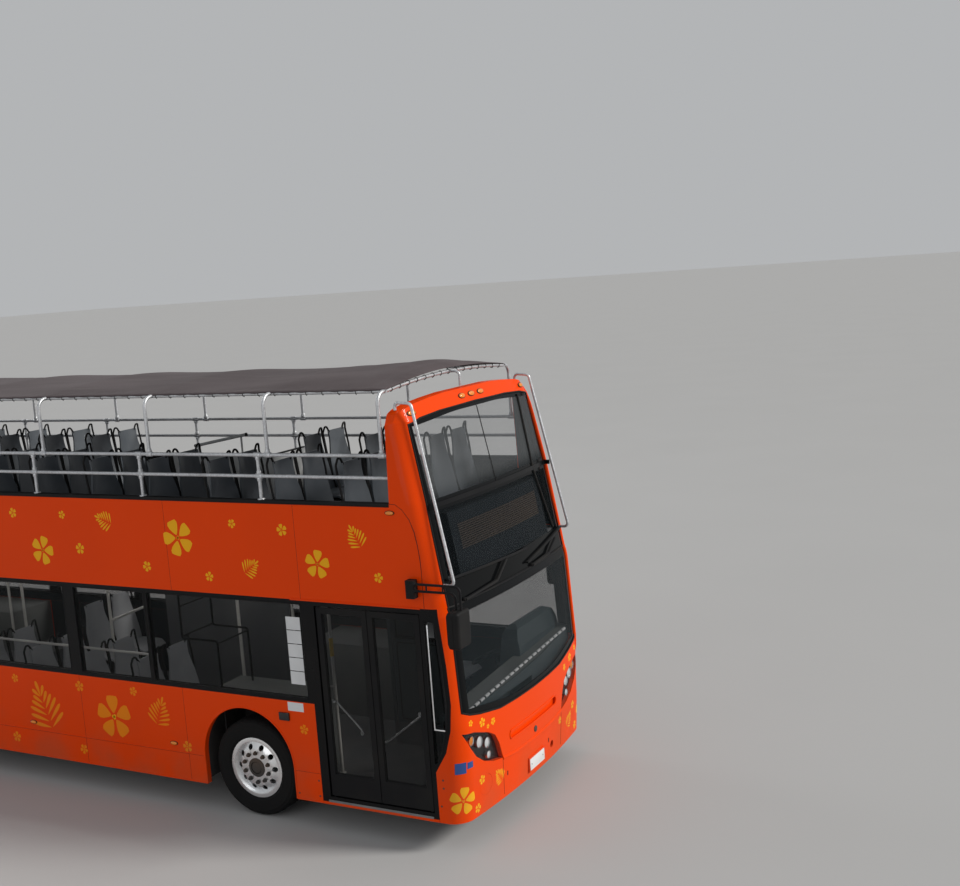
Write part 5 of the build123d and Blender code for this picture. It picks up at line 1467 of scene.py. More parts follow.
# %% Blank destination panel
lamp_dot = grained("unlit_lamps", (0.055, 0.030, 0.012), (0.075, 0.040, 0.015), 0.45, 700, 0.0002)
DOT_COLUMNS, DOT_ROWS = 78, 12
panel, dots = works(2)
low, high = ([(-0.80, z), (0.80, z)] for z in (2.60, 2.86))
front_panel(panel, low, high, -0.0225, 0.001, 24, 2)
for i in range(DOT_COLUMNS):
    for j in range(DOT_ROWS):
        y, z = -0.77 + 1.54 * i / (DOT_COLUMNS - 1), 2.625 + 0.21 * j / (DOT_ROWS - 1)
        at = facing((1, 0, 0.18), on_front(y, z, -0.0212))
        ops.create_circle(dots, cap_ends=True, segments=6, radius=0.0062, matrix=at)
ops.solidify(dots, geom=dots.faces[:], thickness=0.0008)
finished("destination_sheet", panel, matt_black, "black_gloss")
finished("destination_dots", dots, lamp_dot, "black_gloss")

# %% [markdown]
# Small lamps mark the outline of a high vehicle: three over the screens, one at each upper corner,
# and amber ones along the sides. Each is a low dome on a dark base.

# %% Marker lamps
base, lenses = works(2)
MARKER_BASE = [(1.15, 0.0), (1.15, 0.005), (0.9, 0.007)]
MARKER_DOME = [(1.0, 0.004), (0.92, 0.011), (0.6, 0.016), (0.001, 0.0185)]
UPRIGHT = Matrix.Rotation(radians(90), 4, "Z")
markers = [(on_front(y, 3.905), (1, 0, 0.45), 0.105, 0.046) for y in (-0.18, 0.0, 0.18)]
for side in SIDES:
    markers.append((on_front(side * 1.06, 3.862), (1, side * 0.15, 0.45), 0.105, 0.046))
    for x, z in ((1.79, 3.030), (-0.95, 0.637), (-2.895, 0.637), (-4.85, 0.637), (-7.30, 0.637)):
        markers.append(((x, side * HALF_WIDTH, z), (0, side, 0), 0.085, 0.036))
for at, outwards, length, width in markers:
    for bm, profile in ((base, MARKER_BASE), (lenses, MARKER_DOME)):
        made = turned(bm, profile, 20)
        ops.scale(bm, vec=(width / 2, length / 2, 1), verts=made)
        ops.transform(bm, matrix=facing(outwards, at) @ UPRIGHT, verts=made)
finished("marker_bases", base, trim_black, "lamp_black")
finished("marker_lenses", lenses, lens_amber, "lamp_black")

# %% [markdown]
# The long sides are plain plates, so their life is in the joints: a raised lip along the skirt,
# thin dark seams between the panels, a rolled edge round each wheel arch, a drip rail over the
# door and a black capping along the parapet.

# %% Seams, arch lips and capping
REAR = -8.390
WHEELBASE = 5.800
ARCH_X, ARCH_R, ARCH_Z = (-0.030, -WHEELBASE), 0.540, 0.560
SEAM_Z, SKIRT_Z = 0.550, 0.272
BAND_LOW, BAND_HIGH, PARAPET = 1.221, 2.199, 3.107
# lengths between the openings of each side, from the rear
SKIRT_RUNS = ((-8.240, -6.342), (-5.258, -0.572))
SEAM_CURVE = [
    (1.790, 3.106), (1.850, 3.104), (1.915, 3.060), (1.980, 2.975), (2.020, 2.868), (2.040, 2.760),
    (2.055, 2.640), (2.060, 2.540), (2.060, 2.203),
]
seams, lips, cap = works(3)
for side in SIDES:
    for run in SKIRT_RUNS + ((0.512, 0.802 if side < 0 else 2.046),):
        side_block(seams, side, run, (SEAM_Z - 0.003, SEAM_Z), (-0.001, 0.0006))
        side_block(lips, side, run, (SEAM_Z, SEAM_Z + 0.012), (-0.002, 0.0035), 0.0015)
        side_block(lips, side, run, (0.266, 0.280), (-0.004, 0.0025), 0.001)
    for heights, lengths in (
        ((0.285, BAND_LOW), (-0.770, -2.150, -3.660, -6.640, -8.236)),
        ((BAND_HIGH + 0.002, PARAPET - 0.03), (0.760, -0.770, -3.660, -6.640, -8.236)),
    ):
        for x in lengths:
            side_block(seams, side, (x - 0.0012, x + 0.0012), heights, (-0.001, 0.0005))
    for x in ARCH_X:
        y = side * (HALF_WIDTH - 0.001)
        arc = [
            (x + ARCH_R * cos(radians(a)), y, ARCH_Z + ARCH_R * sin(radians(a)))
            for a in range(0, 181, 5)
        ]
        tube(lips, [(arc[0][0], y, SKIRT_Z)] + arc + [(arc[-1][0], y, SKIRT_Z)], 0.009, 8)
    tube(seams, [(x, side * (HALF_WIDTH - 0.0006), z) for x, z in SEAM_CURVE], 0.0025)
    run = (REAR + 0.15, 1.787)
    side_block(cap, side, run, (PARAPET - 0.030, PARAPET + 0.004), (-0.064, 0.0045), 0.004)
    side_block(cap, side, run, (2.402, PARAPET - 0.030), (-0.066, -0.0605), 0.001)
side_block(lips, -1, (0.640, 2.020), (2.192, 2.206), (-0.004, 0.009), 0.003)
side_block(lips, -1, (0.806, 2.046), (0.266, 0.2915), (-0.004, 0.0035), 0.001)
y = HALF_WIDTH - 0.15
block(cap, (REAR - 0.004, -y, PARAPET - 0.030), (REAR + 0.064, y, PARAPET + 0.004), 0.004)
block(cap, (REAR + 0.0605, -y, 2.402), (REAR + 0.066, y, PARAPET - 0.030), 0.001)
finished("panel_seams", seams, trim_black, "orange_paint")
finished("panel_lips", lips, orange_paint, "orange_paint", 50)
finished("parapet_capping", cap, trim_black, "black_gloss")

# %% [markdown]
# Black rubber closes each pane against its frame: a bead round every opening, bent at the corners.
# The quarter window ahead of the door has a bright strip along its rear and lower edge. Behind the
# band, five plain white labels stand above each other, where the photograph has small printed ones.

# %% Window rubbers and blank labels
BAYS = (
    (-1.110, 0.745), (-2.095, -1.150), (-3.590, -2.240), (-5.080, -3.730), (-6.570, -5.220),
    (-8.060, -6.710),
)
QUARTER = [
    (2.040, 0.80), (2.040, 2.09), (2.135, 2.09), (2.152, 1.996), (2.179, 1.692), (2.196, 1.352),
    (2.18, 1.12), (2.12, 0.90), (2.07, 0.80),
]
CAB_WINDOW = [
    (0.86, 1.27), (0.86, 2.15), (2.125, 2.15), (2.152, 1.996), (2.179, 1.692), (2.19, 1.352),
    (2.185, 1.27),
]
SCREWS = (
    (2.112, 0.664), (2.112, 0.590), (2.079, 0.421), (0.775, 0.330), (0.775, 0.480), (0.540, 0.330),
)
rubber, bright, sill, labels, repeater, screws = works(6)
for side in SIDES:
    y = side * (HALF_WIDTH - 0.0035)
    for x0, x1 in BAYS:
        hoop(rubber, [(x, y, z) for x, z in rect(x0, 1.261, x1, 2.159)], 0.022, 0.008)
    outline = QUARTER if side < 0 else CAB_WINDOW
    hoop(rubber, [(x, y, z) for x, z in outline], 0.030, 0.008, steps=3)
side_block(bright, -1, (2.064, 2.076), (1.113, 2.057), (-0.0055, -0.001), 0.001)
side_block(bright, -1, (2.076, 2.176), (1.113, 1.125), (-0.0055, -0.001), 0.001)
side_block(sill, -1, (0.871, 1.991), (0.2915, 0.312), (-0.002, 0.006), 0.0015)
for i in range(4):
    z = 0.2945 + i * 0.004
    side_block(sill, -1, (0.876, 1.986), (z, z + 0.0015), (0.005, 0.0068))
for i in range(5):
    z = 1.390 + i * 0.1295
    side_block(labels, -1, (0.563, 0.722), (z, z + 0.122), (-0.0052, -0.0042))
side_block(labels, -1, (0.498, 0.676), (1.128, 1.212), (-0.0005, 0.0006))
side_block(repeater, -1, (0.392, 0.510), (1.028, 1.106), (-0.002, 0.018), 0.008)
for x, z in SCREWS:
    head = [(0.009, 0), (0.009, 0.002), (0.0003, 0.004)]
    turned(screws, head, 10, (0, -1, 0), (x, -HALF_WIDTH, z))
finished("window_rubbers", rubber, trim_black, "black_gloss", 60)
finished("quarter_window_strip", bright, aluminium, "polished_aluminium")
finished("door_sill", sill, sill_grey, "dark_metal")
finished("blank_side_labels", labels, label_white, "black_gloss")
finished("side_repeater", repeater, lamp_black, "lamp_black")
finished("side_screws", screws, cast_iron, "dark_metal")

# %% [markdown]
# Each door leaf has a rubber round its glass, a soft rubber edge where the leaves meet, one along
# its foot, and a slanting handrail inside. Everything on a leaf rides with that leaf.

# %% Door leaves
LEAF_OUT, LEAF_IN = -1.265, -1.225
# lengths of the glass, of the rubber edge and of the foot, and the points of the handrail
LEAVES = {
    "rear": (
        (0.962, 1.389), (1.4440, 1.4475), (0.925, 1.440),
        [
            (0.995, -1.228, 1.256), (0.995, -1.195, 1.238), (1.258, -1.195, 0.987),
            (1.272, -1.228, 0.980),
        ],
    ),
    "front": (
        (1.507, 1.934), (1.4485, 1.4520), (1.456, 1.971),
        [
            (1.901, -1.228, 1.224), (1.901, -1.195, 1.204), (1.522, -1.195, 0.915),
            (1.486, -1.228, 0.915),
        ],
    ),
}
ROSE = [(0.022, -0.003), (0.022, 0.003), (0.014, 0.006), (0.0003, 0.006)]
for name, (glass_x, edge_x, foot_x, rail) in LEAVES.items():
    rubber, handrail = works(2)
    for y in (LEAF_OUT + 0.015, LEAF_IN - 0.015):
        corners = [(x, y, z) for x, z in rect(glass_x[0], 0.567, glass_x[1], 2.083)]
        hoop(rubber, corners, 0.030, 0.007)
    for x, inset, z in ((edge_x, 0.006, (0.360, 2.135)), (foot_x, 0.008, (0.3495, 0.360))):
        low, high = (x[0], LEAF_OUT + inset, z[0]), (x[1], LEAF_IN - inset, z[1])
        block(rubber, low, high, 0.001)
    tube(handrail, bend_line(rail, 0.03), 0.011, 12)
    for p in (rail[0], rail[-1]):
        turned(handrail, ROSE, 16, (0, 1, 0), p)
    body = f"door_{name}_leaf"
    finished(f"door_rubber_{name}", rubber, trim_black, "black_gloss", 50, body=body)
    finished(f"door_handrail_{name}", handrail, chrome, "polished_aluminium", body=body)

# %% [markdown]
# The mirrors are solid heads in the CAD model. Each gets a pane of mirror glass on its rear face
# with a dark rim, a seam line round the shell, and clamps where the arm enters.

# %% Mirror glass
mirror_glass = grained(
    "mirror_glass", (0.80, 0.82, 0.84), (0.74, 0.76, 0.79), 0.04, 3, 0.0001, metallic=1.0
)
panes, rims = works(2)
for x, y0, y1, z0, z1 in (
    (2.360, -1.420, -1.240, 1.938, 2.202), (1.990, 1.320, 1.420, 1.768, 2.132),
):
    block(panes, (x - 0.0015, y0 + 0.006, z0 + 0.006), (x + 0.002, y1 - 0.006, z1 - 0.006), 0.0008)
    for dx, dy, dz, bend, thick, sides in (
        (-0.001, 0, 0, 0.022, 0.005, 6), (0.060, 0.0205, 0.0285, 0.034, 0.0025, 5),
    ):
        ring = [(x + dx, y, z) for y, z in rect(y0 - dy, z0 - dz, y1 + dy, z1 + dz)]
        hoop(rims, ring, bend, thick, sides)
collar = [(0.012, -0.004), (0.021, -0.002), (0.021, 0.012), (0.016, 0.018), (0.011, 0.018)]
for y, z in ((-1.330, 2.430), (-1.330, 2.370), (1.315, 2.370)):
    turned(rims, collar, 16, FORWARDS, (2.010, y, z))
for side in SIDES:
    for z in (2.322, 2.438):
        bolt = [(0.010, -0.002), (0.010, 0.003), (0.0003, 0.005)]
        turned(rims, bolt, 8, (0, side, 0), (1.970, side * 1.345, z))
finished("mirror_panes", panes, mirror_glass, "polished_aluminium")
finished("mirror_rims", rims, trim_black, "black_gloss")

# %% [markdown]
# The dashboard is a moulded shelf behind the windscreen. A dark strip with pale vent slots lies
# along its front edge, and three round instruments and a row of vents face the driver. The steering
# wheel gets a padded rim and a domed centre in place of the plain ring.

# %% Dashboard
shelf_grey = grained("shelf_grey", (0.115, 0.120, 0.118), (0.140, 0.145, 0.142), 0.45, 500, 0.0004)
vents, slots, dials, dial_rings, strip, shelf = works(6)
strip_start, strip_end = place(2.296, -1.060, 1.2340), place(2.270, 1.070, 1.3600)
SLOTS, SLOT_GAP, SLOT_OUT = 21, 0.14, Vector((0.002, 0, 0.0035))
tube(strip, [strip_start, strip_end], 0.0115, 8)
for i in range(SLOTS):
    ends = [strip_start.lerp(strip_end, (i + s) / SLOTS) for s in (SLOT_GAP, 1 - SLOT_GAP)]
    tube(slots, [p + SLOT_OUT for p in ends], 0.0150, 8)
for y, r in ((0.500, 0.055), (0.640, 0.070), (0.780, 0.055)):
    at, lean = (1.9665, y, 1.425), (-1, 0, 0.15)
    bezel = [(r, -0.004), (r + 0.006, 0.004), (r + 0.001, 0.009), (r - 0.004, 0.004)]
    turned(dial_rings, bezel, 28, lean, at)
    turned(dials, [(r - 0.002, 0.0005), (r - 0.002, 0.003), (0.0003, 0.0035)], 28, lean, at)
for i in range(8):
    y = 0.300 + 0.022 * i
    block(vents, (1.9515, y - 0.009, 1.348), (1.9615, y + 0.009, 1.372), 0.002)


def shelf_point(u, v):
    """From the hood (v = 0) to the windscreen (v = 1)."""
    y = (2 * u - 1) * 1.150
    z = 1.2955 + y * 0.0600
    front_x = on_front(y, z, -0.068).x
    return Vector((front_x - (1 - v) * (front_x - place(2.092, 0, 0).x), y, z))


sheet(shelf, 30, 5, shelf_point, 0.003, (0, 0, 1))
finished("dash_shelf_sheet", shelf, shelf_grey, "dash_plastic")
finished("dash_vent_strip", strip, trim_black, "dash_plastic")
finished("dash_vent_slots", slots, label_white, "dash_plastic")
finished("dash_vents", vents, trim_black, "dash_plastic")
finished("dash_dials", dials, lamp_black, "dash_plastic")
finished("dash_dial_rings", dial_rings, aluminium, "dash_plastic")

# %% Steering wheel
wheel_turn = Matrix.Translation(place(1.640, 0.640, 1.170)) @ Matrix.Rotation(radians(-25), 4, "Y")
wheel = bmesh.new()
tube(wheel, [wheel_turn @ p for p in circle(0.215, 56)], 0.0158, 12, closed=True)
for degrees in (30, 150, 270):
    c, s = cos(radians(degrees)), sin(radians(degrees))
    arm = [Vector((r * c, r * s, z)) for r, z in ((0.040, 0.008), (0.13, -0.004), (0.206, 0.0))]
    tube(wheel, [wheel_turn @ p for p in bend_line(arm, 0.2)], 0.0125, 8)
hub = [(0.056, -0.030), (0.058, 0.010), (0.050, 0.020), (0.030, 0.026), (0.0003, 0.028)]
made = turned(wheel, hub, 28)
made += turned(wheel, [(0.018, -0.118), (0.019, -0.030), (0.040, -0.030)], 16)
ops.transform(wheel, matrix=wheel_turn, verts=made)
finished(
    "steering_wheel_rim", wheel, trim_black, "black_gloss", 50, ["steering_wheel"], "steering"
)

# %% [markdown]
# Inside, pale handrails run along the lower windows and up to the ceiling, and dark tubes stand
# beside the upper screens. Under the ceiling lie long lamps. A yellow band marks the pole behind
# the door.

# %% Poles, rails and lamps inside
CEILING = 2.300
WALL_RAIL_REAR, WALL_RAIL_Z = -7.95, 1.498
pole_pale = grained(
    "pole_pale", (0.74, 0.72, 0.68), (0.64, 0.62, 0.59), 0.32, 300, 0.0003, coat=0.3
)
mark_yellow = grained("mark_yellow", (0.70, 0.47, 0.03), (0.60, 0.40, 0.03), 0.4, 300, 0.0003)
lamp_white = Finish("ceiling_lamp")
lamp_tone = lamp_white.mix(lamp_white.noise(3), (0.82, 0.84, 0.86), (0.76, 0.78, 0.80))
lamp_white.shade(lamp_tone, 0.35, emission_color=(1.0, 0.98, 0.94, 1.0), emission_strength=5.0)
# place and foot of each pole
POLES = (
    (0.690, -0.780, LOW_FLOOR), (-0.780, -0.330, LOW_FLOOR), (-2.063, -0.300, LOW_FLOOR),
    (-2.617, -0.300, LOW_FLOOR), (-0.770, 0.560, LOW_FLOOR), (-3.900, -0.360, LOW_FLOOR),
    (-3.900, 0.360, LOW_FLOOR), (-5.000, -0.380, REAR_FLOOR), (-5.000, 0.380, REAR_FLOOR),
    (-6.300, -0.380, REAR_FLOOR), (-6.300, 0.380, REAR_FLOOR),
)
FLANGE = [(0.036, 0.0), (0.036, 0.006), (0.024, 0.014), (0.0166, 0.016)]
RACK = [(-0.810, 2.290), (-0.814, 1.682), (-0.377, 1.683), (-0.368, 0.350)]
poles, bands, lamps, dark_tubes = works(4)
for side in SIDES:
    front_end = -1.18 if side < 0 else -3.30
    tube(poles, [(x, side * 1.205, WALL_RAIL_Z) for x in (WALL_RAIL_REAR, front_end)], 0.013, 10)
    for x0, x1 in BAYS[1:]:
        for x in (x0 - 0.05, x1 + 0.02):
            if WALL_RAIL_REAR < x < front_end:
                tube(poles, [(x, side * y, WALL_RAIL_Z) for y in (1.204, 1.218)], 0.009, 8)
tube(poles, [(-2.617, -0.300, 1.485), (-2.063, -0.300, 1.691)], 0.015, 10)
for x, y, foot in POLES:
    tube(poles, [(x, y, foot), (x, y, CEILING)], 0.0165, 12)
    for z, sign in ((foot, 1), (CEILING, -1)):
        turned(poles, FLANGE, 16, (0, 0, sign), (x, y, z))
band = [(0.0168, -0.09), (0.0195, -0.088), (0.0195, 0.088), (0.0168, 0.09)]
turned(bands, band, 16, at=(0.690, -0.780, 1.60))
beside_screens = [(1.997, 0.889, 3.791), (2.150, 0.826, 3.039), (2.237, 1.007, 2.430)]
tube(dark_tubes, bend_line(beside_screens, 0.25, 5), 0.013, 10)
for y in (-1.150, -0.690):
    tube(dark_tubes, bend_line([(x, y, z) for x, z in RACK], 0.03, 3), 0.011, 8)
for x, z in ((-0.810, 2.0), (-0.810, 1.70), (-0.37, 1.66), (-0.37, 1.0)):
    tube(dark_tubes, [(x, -1.150, z), (x, -0.690, z)], 0.009, 8)
for y in (-0.62, 0.22):
    for x0, x1 in ((-7.90, -2.80), (-2.60, 0.60)):
        block(lamps, (x0, y - 0.05, CEILING - 0.028), (x1, y + 0.05, CEILING), 0.010)
finished("inner_poles", poles, pole_pale, "galvanised", 50)
finished("pole_yellow_band", bands, mark_yellow, "galvanised")
finished("inner_dark_tubes", dark_tubes, trim_black, "black_gloss", 50)
finished("ceiling_lamps", lamps, lamp_white, "clear_glass")

# %% [markdown]
# Thin sheets line the inside. The ceiling sheet leaves the stairwell open, boxes cover the wheel
# housings, and dark sheets hide the painted insides of the walls and of the front pillars. The
# stair treads have bright nosings, and the floor a bright edge at the door.

# %% Linings and nosings
CHEEK_REAR, LINING_OUT = 1.797, -0.0625
SILL_TOP = 1.142
# x0, x1, y0, y1 of the ceiling; x0, x1, z0, z1 of the wall sheets
CEILING_RUNS = (
    (-7.90, -2.49, -1.21, 1.21), (-2.49, -0.895, -1.21, 0.635), (-0.895, 0.80, -1.21, 1.21),
    (0.80, 2.12, -1.10, 1.10),
)
WALL_SHEETS = (
    (-8.240, -6.385, 0.642, SILL_TOP), (-5.215, -4.705, 0.642, SILL_TOP),
    (-4.700, -0.615, 0.347, SILL_TOP),
)
ceiling, covers, lining, inner, nosing = works(5)
for x0, x1, y0, y1 in CEILING_RUNS:
    block(ceiling, (x0, y0, CEILING - 0.006), (x1, y1, CEILING - 0.001))
for x, foot in zip(ARCH_X, (LOW_FLOOR, REAR_FLOOR)):
    for side in SIDES:
        for x0, x1, in_y, out_y, z0, z1 in (
            (-0.572, 0.572, 0.590, 1.212, 1.135, 1.140), (-0.572, 0.572, 0.590, 0.595, foot, 1.138),
            (-0.572, -0.567, 0.592, 1.212, foot, 1.138), (0.567, 0.572, 0.592, 1.212, foot, 1.138),
        ):
            y0, y1 = sorted((side * in_y, side * out_y))
            block(covers, (x + x0, y0, z0), (x + x1, y1, z1), 0.002)
for side in SIDES:
    for z0, z1, walk0 in ((2.41, 3.84, None), (1.25, 2.29, -0.030)):
        def lay_cheek(u, v):
            z, start = z0 + (z1 - z0) * v, walk0
            if walk0 is None:
                *_, reach, big_x = section_at(z, LINING_OUT)
                start = CHEEK_REAR - big_x - reach
            return round_corner(start + (0.11 - start) * u, z, LINING_OUT, side)

        sheet(lining, 14, 12, lay_cheek, 0.002, (0, 1, 0))
    for z0, y0, z1, y1 in ((1.275, 1.1935, 2.190, 1.1895), (2.215, 1.1835, 3.765, 1.1440)):
        def lay_reveal(u, v):
            return on_front(side * (y0 + (y1 - y0) * v), z0 + (z1 - z0) * v, -0.066 + 0.055 * u)

        sheet(lining, 3, 10, lay_reveal, 0.001, (0, 1, 0))
    ahead = 0.800 if side < 0 else 2.040
    for x0, x1, z0, z1 in WALL_SHEETS + (
        (0.555, ahead, 0.347, SILL_TOP), (-8.240, ahead, 1.144, 1.240),
        (-8.240, 2.100, 2.203, 2.293),
    ):
        side_block(inner, side, (x0, x1), (z0, z1), (-0.0640, -0.0605))
block(inner, (REAR + 0.0605, -1.135, 1.230), (REAR + 0.0645, 1.135, 2.293))
STAIR_LOW_X, TREAD, STAIR_STEPS, DECK = -0.850, 0.200, 9, 2.400
stair_y0, stair_y1 = 0.650, 1.190
for i in range(1, STAIR_STEPS + 1):
    x, z = STAIR_LOW_X - TREAD * (i - 1), LOW_FLOOR + (DECK - LOW_FLOOR) / STAIR_STEPS * i
    block(nosing, (x - 0.030, stair_y0, z), (x + 0.004, stair_y1, z + 0.004), 0.001)
    block(nosing, (x, stair_y0, z - 0.030), (x + 0.004, stair_y1, z + 0.001), 0.001)
block(nosing, (0.910, -1.214, LOW_FLOOR), (1.990, -1.190, LOW_FLOOR + 0.002), 0.0005)
block(nosing, (-4.703, -0.60, REAR_FLOOR), (-4.670, 0.60, REAR_FLOOR + 0.005), 0.001)
finished("ceiling_sheet", ceiling, grey_panel, "grey_panel")
finished("wheel_box_covers", covers, shelf_grey, "grey_panel")
finished("front_pillar_linings", lining, matt_black, "black_gloss")
finished("wall_linings", inner, matt_black, "grey_panel")
finished("stair_nosings", nosing, aluminium, "polished_aluminium")

# %% [markdown]
# The cab door gets a frame of beads, a latch and a small ledge; all of it turns with the door. The
# partition beside it gets beads of its own. On the upper deck a padded strip lies along the top of
# the stair guard, and collars stand where its handrail meets the posts.

# %% Cab door, partition and stair guard
GATE_Y = 0.0775
gate, partition, guard = works(3)
for y in (GATE_Y - 0.016, GATE_Y + 0.016):
    hoop(gate, [(x, y, z) for x, z in rect(0.880, 0.610, 1.440, 1.410)], 0.04, 0.006)
block(gate, (0.870, GATE_Y - 0.030, 1.450), (1.472, GATE_Y + 0.030, 1.468), 0.006)
block(gate, (1.400, GATE_Y - 0.034, 1.150), (1.455, GATE_Y - 0.015, 1.250), 0.006)
for x in (0.779, 0.816):
    hoop(partition, [(x, y, z) for y, z in rect(0.160, 0.640, 1.140, 2.200)], 0.05, 0.008)
block(guard, (-2.304, 0.609, 3.196), (-0.871, 0.646, 3.212), 0.006)
block(guard, (-0.904, 0.609, 3.196), (-0.871, 1.200, 3.212), 0.006)
foot = [(0.0112, 0.0), (0.024, 0.0), (0.024, 0.007), (0.0112, 0.016)]
for x in (-1.900, -1.300):
    turned(guard, foot, 14, at=(x, 0.6275, 3.212))
end = [(0.0172, -0.012), (0.0195, -0.010), (0.0195, 0.003), (0.012, 0.009), (0.0003, 0.010)]
for x, z, way in ((-1.964, 3.300, -1), (-1.222, 3.430, 1)):
    along_rail = Vector((0.742, 0, 0.130)).normalized() * way
    turned(guard, end, 14, along_rail, (x, 0.6275, z))
finished("cab_door_trim", gate, trim_black, "black_gloss", 50, body="cab_gate")
finished("cab_partition_trim", partition, trim_black, "black_gloss", 50)
finished("upper_deck_trim", guard, trim_black, "black_gloss")

# %% [markdown]
# The photograph doesn't show the rear. It is dressed like other buses of this kind: round lamps on
# dark panels, a hatch with louvres and two pulls, a rubber strip along the bumper, a blank plate,
# and the same flowers in a loose row. All the pieces of the hatch ride with it.

# %% Rear lamps
red, amber, clear, rims = works(4)
DOME = [(0.066, 0.000), (0.066, 0.008), (0.058, 0.015), (0.035, 0.021), (0.0003, 0.023)]
DOME_RIM = [(0.067, 0.0), (0.072, 0.018), (0.079, 0.018), (0.083, 0.0)]
for side in SIDES:
    for z, kind in ((0.800, clear), (0.985, red), (1.170, amber), (1.360, red)):
        turned(kind, DOME, 28, BACKWARDS, (REAR + 0.012, side * 1.010, z))
        turned(rims, DOME_RIM, 28, BACKWARDS, (REAR + 0.012, side * 1.010, z))
    corners = [(REAR - 0.0005, side * y, z) for y, z in rect(0.923, 0.704, 1.097, 1.496)]
    hoop(rims, corners, 0.02, 0.006)
    for z, kind in ((2.950, red), (2.300, amber)):
        y = side * 0.98
        block(kind, (REAR - 0.014, y - 0.045, z), (REAR + 0.001, y + 0.045, z + 0.035), 0.006)
block(red, (REAR - 0.013, -0.22, 2.960), (REAR + 0.001, 0.22, 2.990), 0.006)
finished("rear_lamps_red", red, lens_red, "lamp_red")
finished("rear_lamps_amber", amber, lens_amber, "lamp_red")
finished("rear_lamps_clear", clear, lens_clear, "lamp_black")
finished("rear_lamp_rims", rims, lamp_black, "lamp_black")

# %% Hatch louvres and rear trim
HATCH = REAR + 0.010
LOUVRES, LOUVRE_PITCH = 16, 0.044
SLANT = Matrix.Rotation(radians(28), 3, "Y")
louvres, trim, plate, yellow, gold = works(5)
for y0, y1 in ((-0.70, -0.04), (0.04, 0.70)):
    for i in range(LOUVRES):
        z = 0.760 + LOUVRE_PITCH * i
        block(louvres, (HATCH - 0.012, y0, z), (HATCH + 0.006, y1, z + 0.005), 0.001, SLANT)
    corners = [(HATCH - 0.001, y, z) for y, z in rect(y0 - 0.012, 0.735, y1 + 0.012, 1.475)]
    hoop(louvres, corners, 0.02, 0.006)
for y in (-0.30, 0.30):
    pull = [
        (HATCH + x, y + dy, 0.620)
        for x, dy in ((0.002, -0.06), (-0.022, -0.06), (-0.022, 0.06), (0.002, 0.06))
    ]
    tube(louvres, bend_line(pull, 0.010, 3), 0.006, 8)
CORNER_X, CORNER_R = -8.240, 0.150
bumper_line = [(-8.150, -HALF_WIDTH), (CORNER_X, -HALF_WIDTH)]
for a in range(0, 91, 10):
    c, s = CORNER_R * cos(radians(a)), CORNER_R * sin(radians(a))
    bumper_line.append((CORNER_X - s, CORNER_R - HALF_WIDTH - c))
bumper_line += [(x, -y) for x, y in reversed(bumper_line)]
for z, radius, sides in ((0.455, 0.016, 8), (BAND_LOW, 0.0022, 5), (BAND_HIGH, 0.0022, 5)):
    tube(trim, [(x, y, z) for x, y in bumper_line], radius, sides)
hoop(trim, [(REAR, y, z) for y, z in rect(-0.800, 0.520, 0.800, 1.700)], 0.012, 0.006)
block(plate, (REAR - 0.0035, -PLATE_HALF, 0.325), (REAR, PLATE_HALF, 0.435), 0.001)


def lay_rear(u, v, out):
    return place(REAR - out, u, v)


# distance from the middle, height, size, turn in degrees
REAR_FLOWERS = [
    (-0.72, 2.55, 0.15, 10), (0.15, 2.72, 0.20, 50), (0.78, 2.46, 0.13, 30),
    (-0.35, 1.90, 0.11, 70), (0.62, 1.95, 0.15, 20),
]
REAR_LEAVES = [(-0.28, 2.45, 0.17, 100), (0.55, 2.80, 0.12, 60), (0.10, 1.92, 0.13, 120)]
flowers(REAR_FLOWERS, yellow, gold, lay_rear)
leaves(REAR_LEAVES, yellow, lay_rear)
finished("hatch_louvres", louvres, trim_black, "black_gloss", body="hatch")
finished("rear_trim", trim, trim_black, "black_gloss")
finished("blank_rear_plate", plate, plate_white, "polished_aluminium")
finished("rear_flowers_yellow", yellow, decal_yellow, "orange_paint")
finished("rear_flowers_gold", gold, decal_gold, "orange_paint")

# %% [markdown]
# Underneath hang the things a bus needs: a fuel tank, air tanks in straps, the exhaust with its
# silencer, a drive shaft from the engine to the rear axle, air springs and mud flaps.

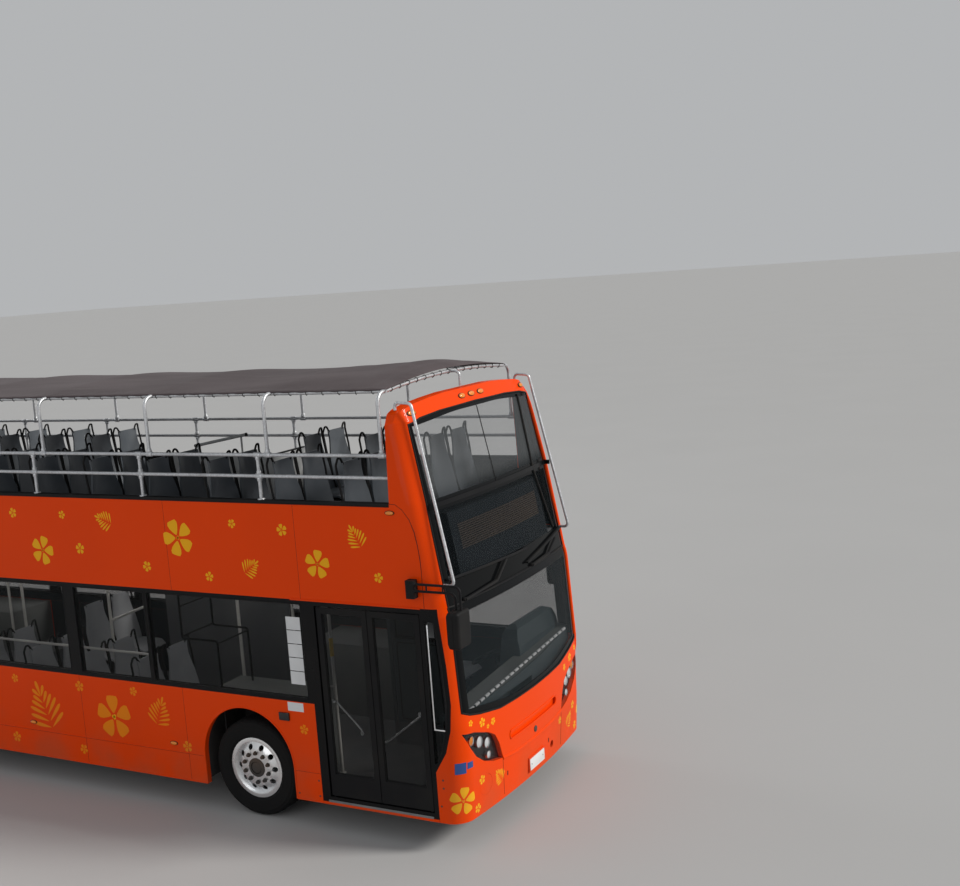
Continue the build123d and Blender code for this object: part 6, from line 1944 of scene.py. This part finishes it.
# %% Under the floor
under, tanks, rubber = works(3)
AIR_TANK = [
    (0.0003, -0.190), (0.040, -0.186), (0.042, -0.170), (0.042, 0.170), (0.040, 0.186),
    (0.0003, 0.190),
]
STRAP = [(0.043, -0.012), (0.045, -0.012), (0.045, 0.012), (0.043, 0.012)]
EXHAUST = [
    (-6.90, -0.20, 0.500), (-7.30, -0.20, 0.400), (-7.60, -0.640, 0.400), (-8.20, -0.640, 0.360),
    (-8.36, -0.640, 0.345),
]
SILENCER = [
    (0.046, -0.42), (0.105, -0.40), (0.110, -0.38), (0.110, 0.38), (0.105, 0.40), (0.046, 0.42),
]
DRIVE_SHAFT = [
    (0.050, -0.36), (0.050, -0.30), (0.038, -0.28), (0.038, 0.28), (0.050, 0.30), (0.050, 0.36),
]
BELLOWS = [
    (0.0003, 0.330), (0.10, 0.330), (0.12, 0.360), (0.100, 0.400), (0.122, 0.440), (0.100, 0.480),
    (0.10, 0.530), (0.0003, 0.530),
]
block(tanks, (-2.40, 0.520, 0.275), (-1.30, 1.080, 0.309), 0.010)
for x in (-3.20, -3.62, -4.04):
    for y in (-0.640, -0.960):
        turned(tanks, AIR_TANK, 20, FORWARDS, (x, y, 0.262))
        for strap in (-0.11, 0.11):
            turned(under, STRAP, 20, FORWARDS, (x + strap, y, 0.262))
tube(under, bend_line(EXHAUST, 0.10, 5), 0.045, 14)
turned(under, SILENCER, 24, FORWARDS, (-7.70, 0.30, 0.400))
turned(under, DRIVE_SHAFT, 18, (1, 0, 0.12), (-6.35, 0.0, 0.480))
for side in SIDES:
    y = side * 0.430
    # the air springs ahead of the axle and behind it, and their arms
    for x, x0, x1 in ((-5.40, 0.02 - WHEELBASE, -5.40), (-6.20, -6.20, -WHEELBASE)):
        turned(rubber, BELLOWS, 22, at=(x, y, 0))
        block(under, (x0, y - 0.045, 0.300), (x1, y + 0.045, 0.332), 0.004)
    flap_y = side * 1.080
    block(rubber, (-6.426, flap_y - 0.160, 0.170), (-6.414, flap_y + 0.150, 0.560), 0.003)
for y, z in ((0.26, 0.285), (0.29, 0.285), (-0.30, 0.290), (-0.33, 0.290)):
    tube(under, [(-4.35, y, z), (0.60, y, z)], 0.007)
finished("under_floor_metal", under, cast_iron, "dark_metal", 45)
finished("under_floor_tanks", tanks, dark_metal, "dark_metal", 45)
finished("under_floor_rubber", rubber, tyre_rubber, "tyre_rubber", 45)
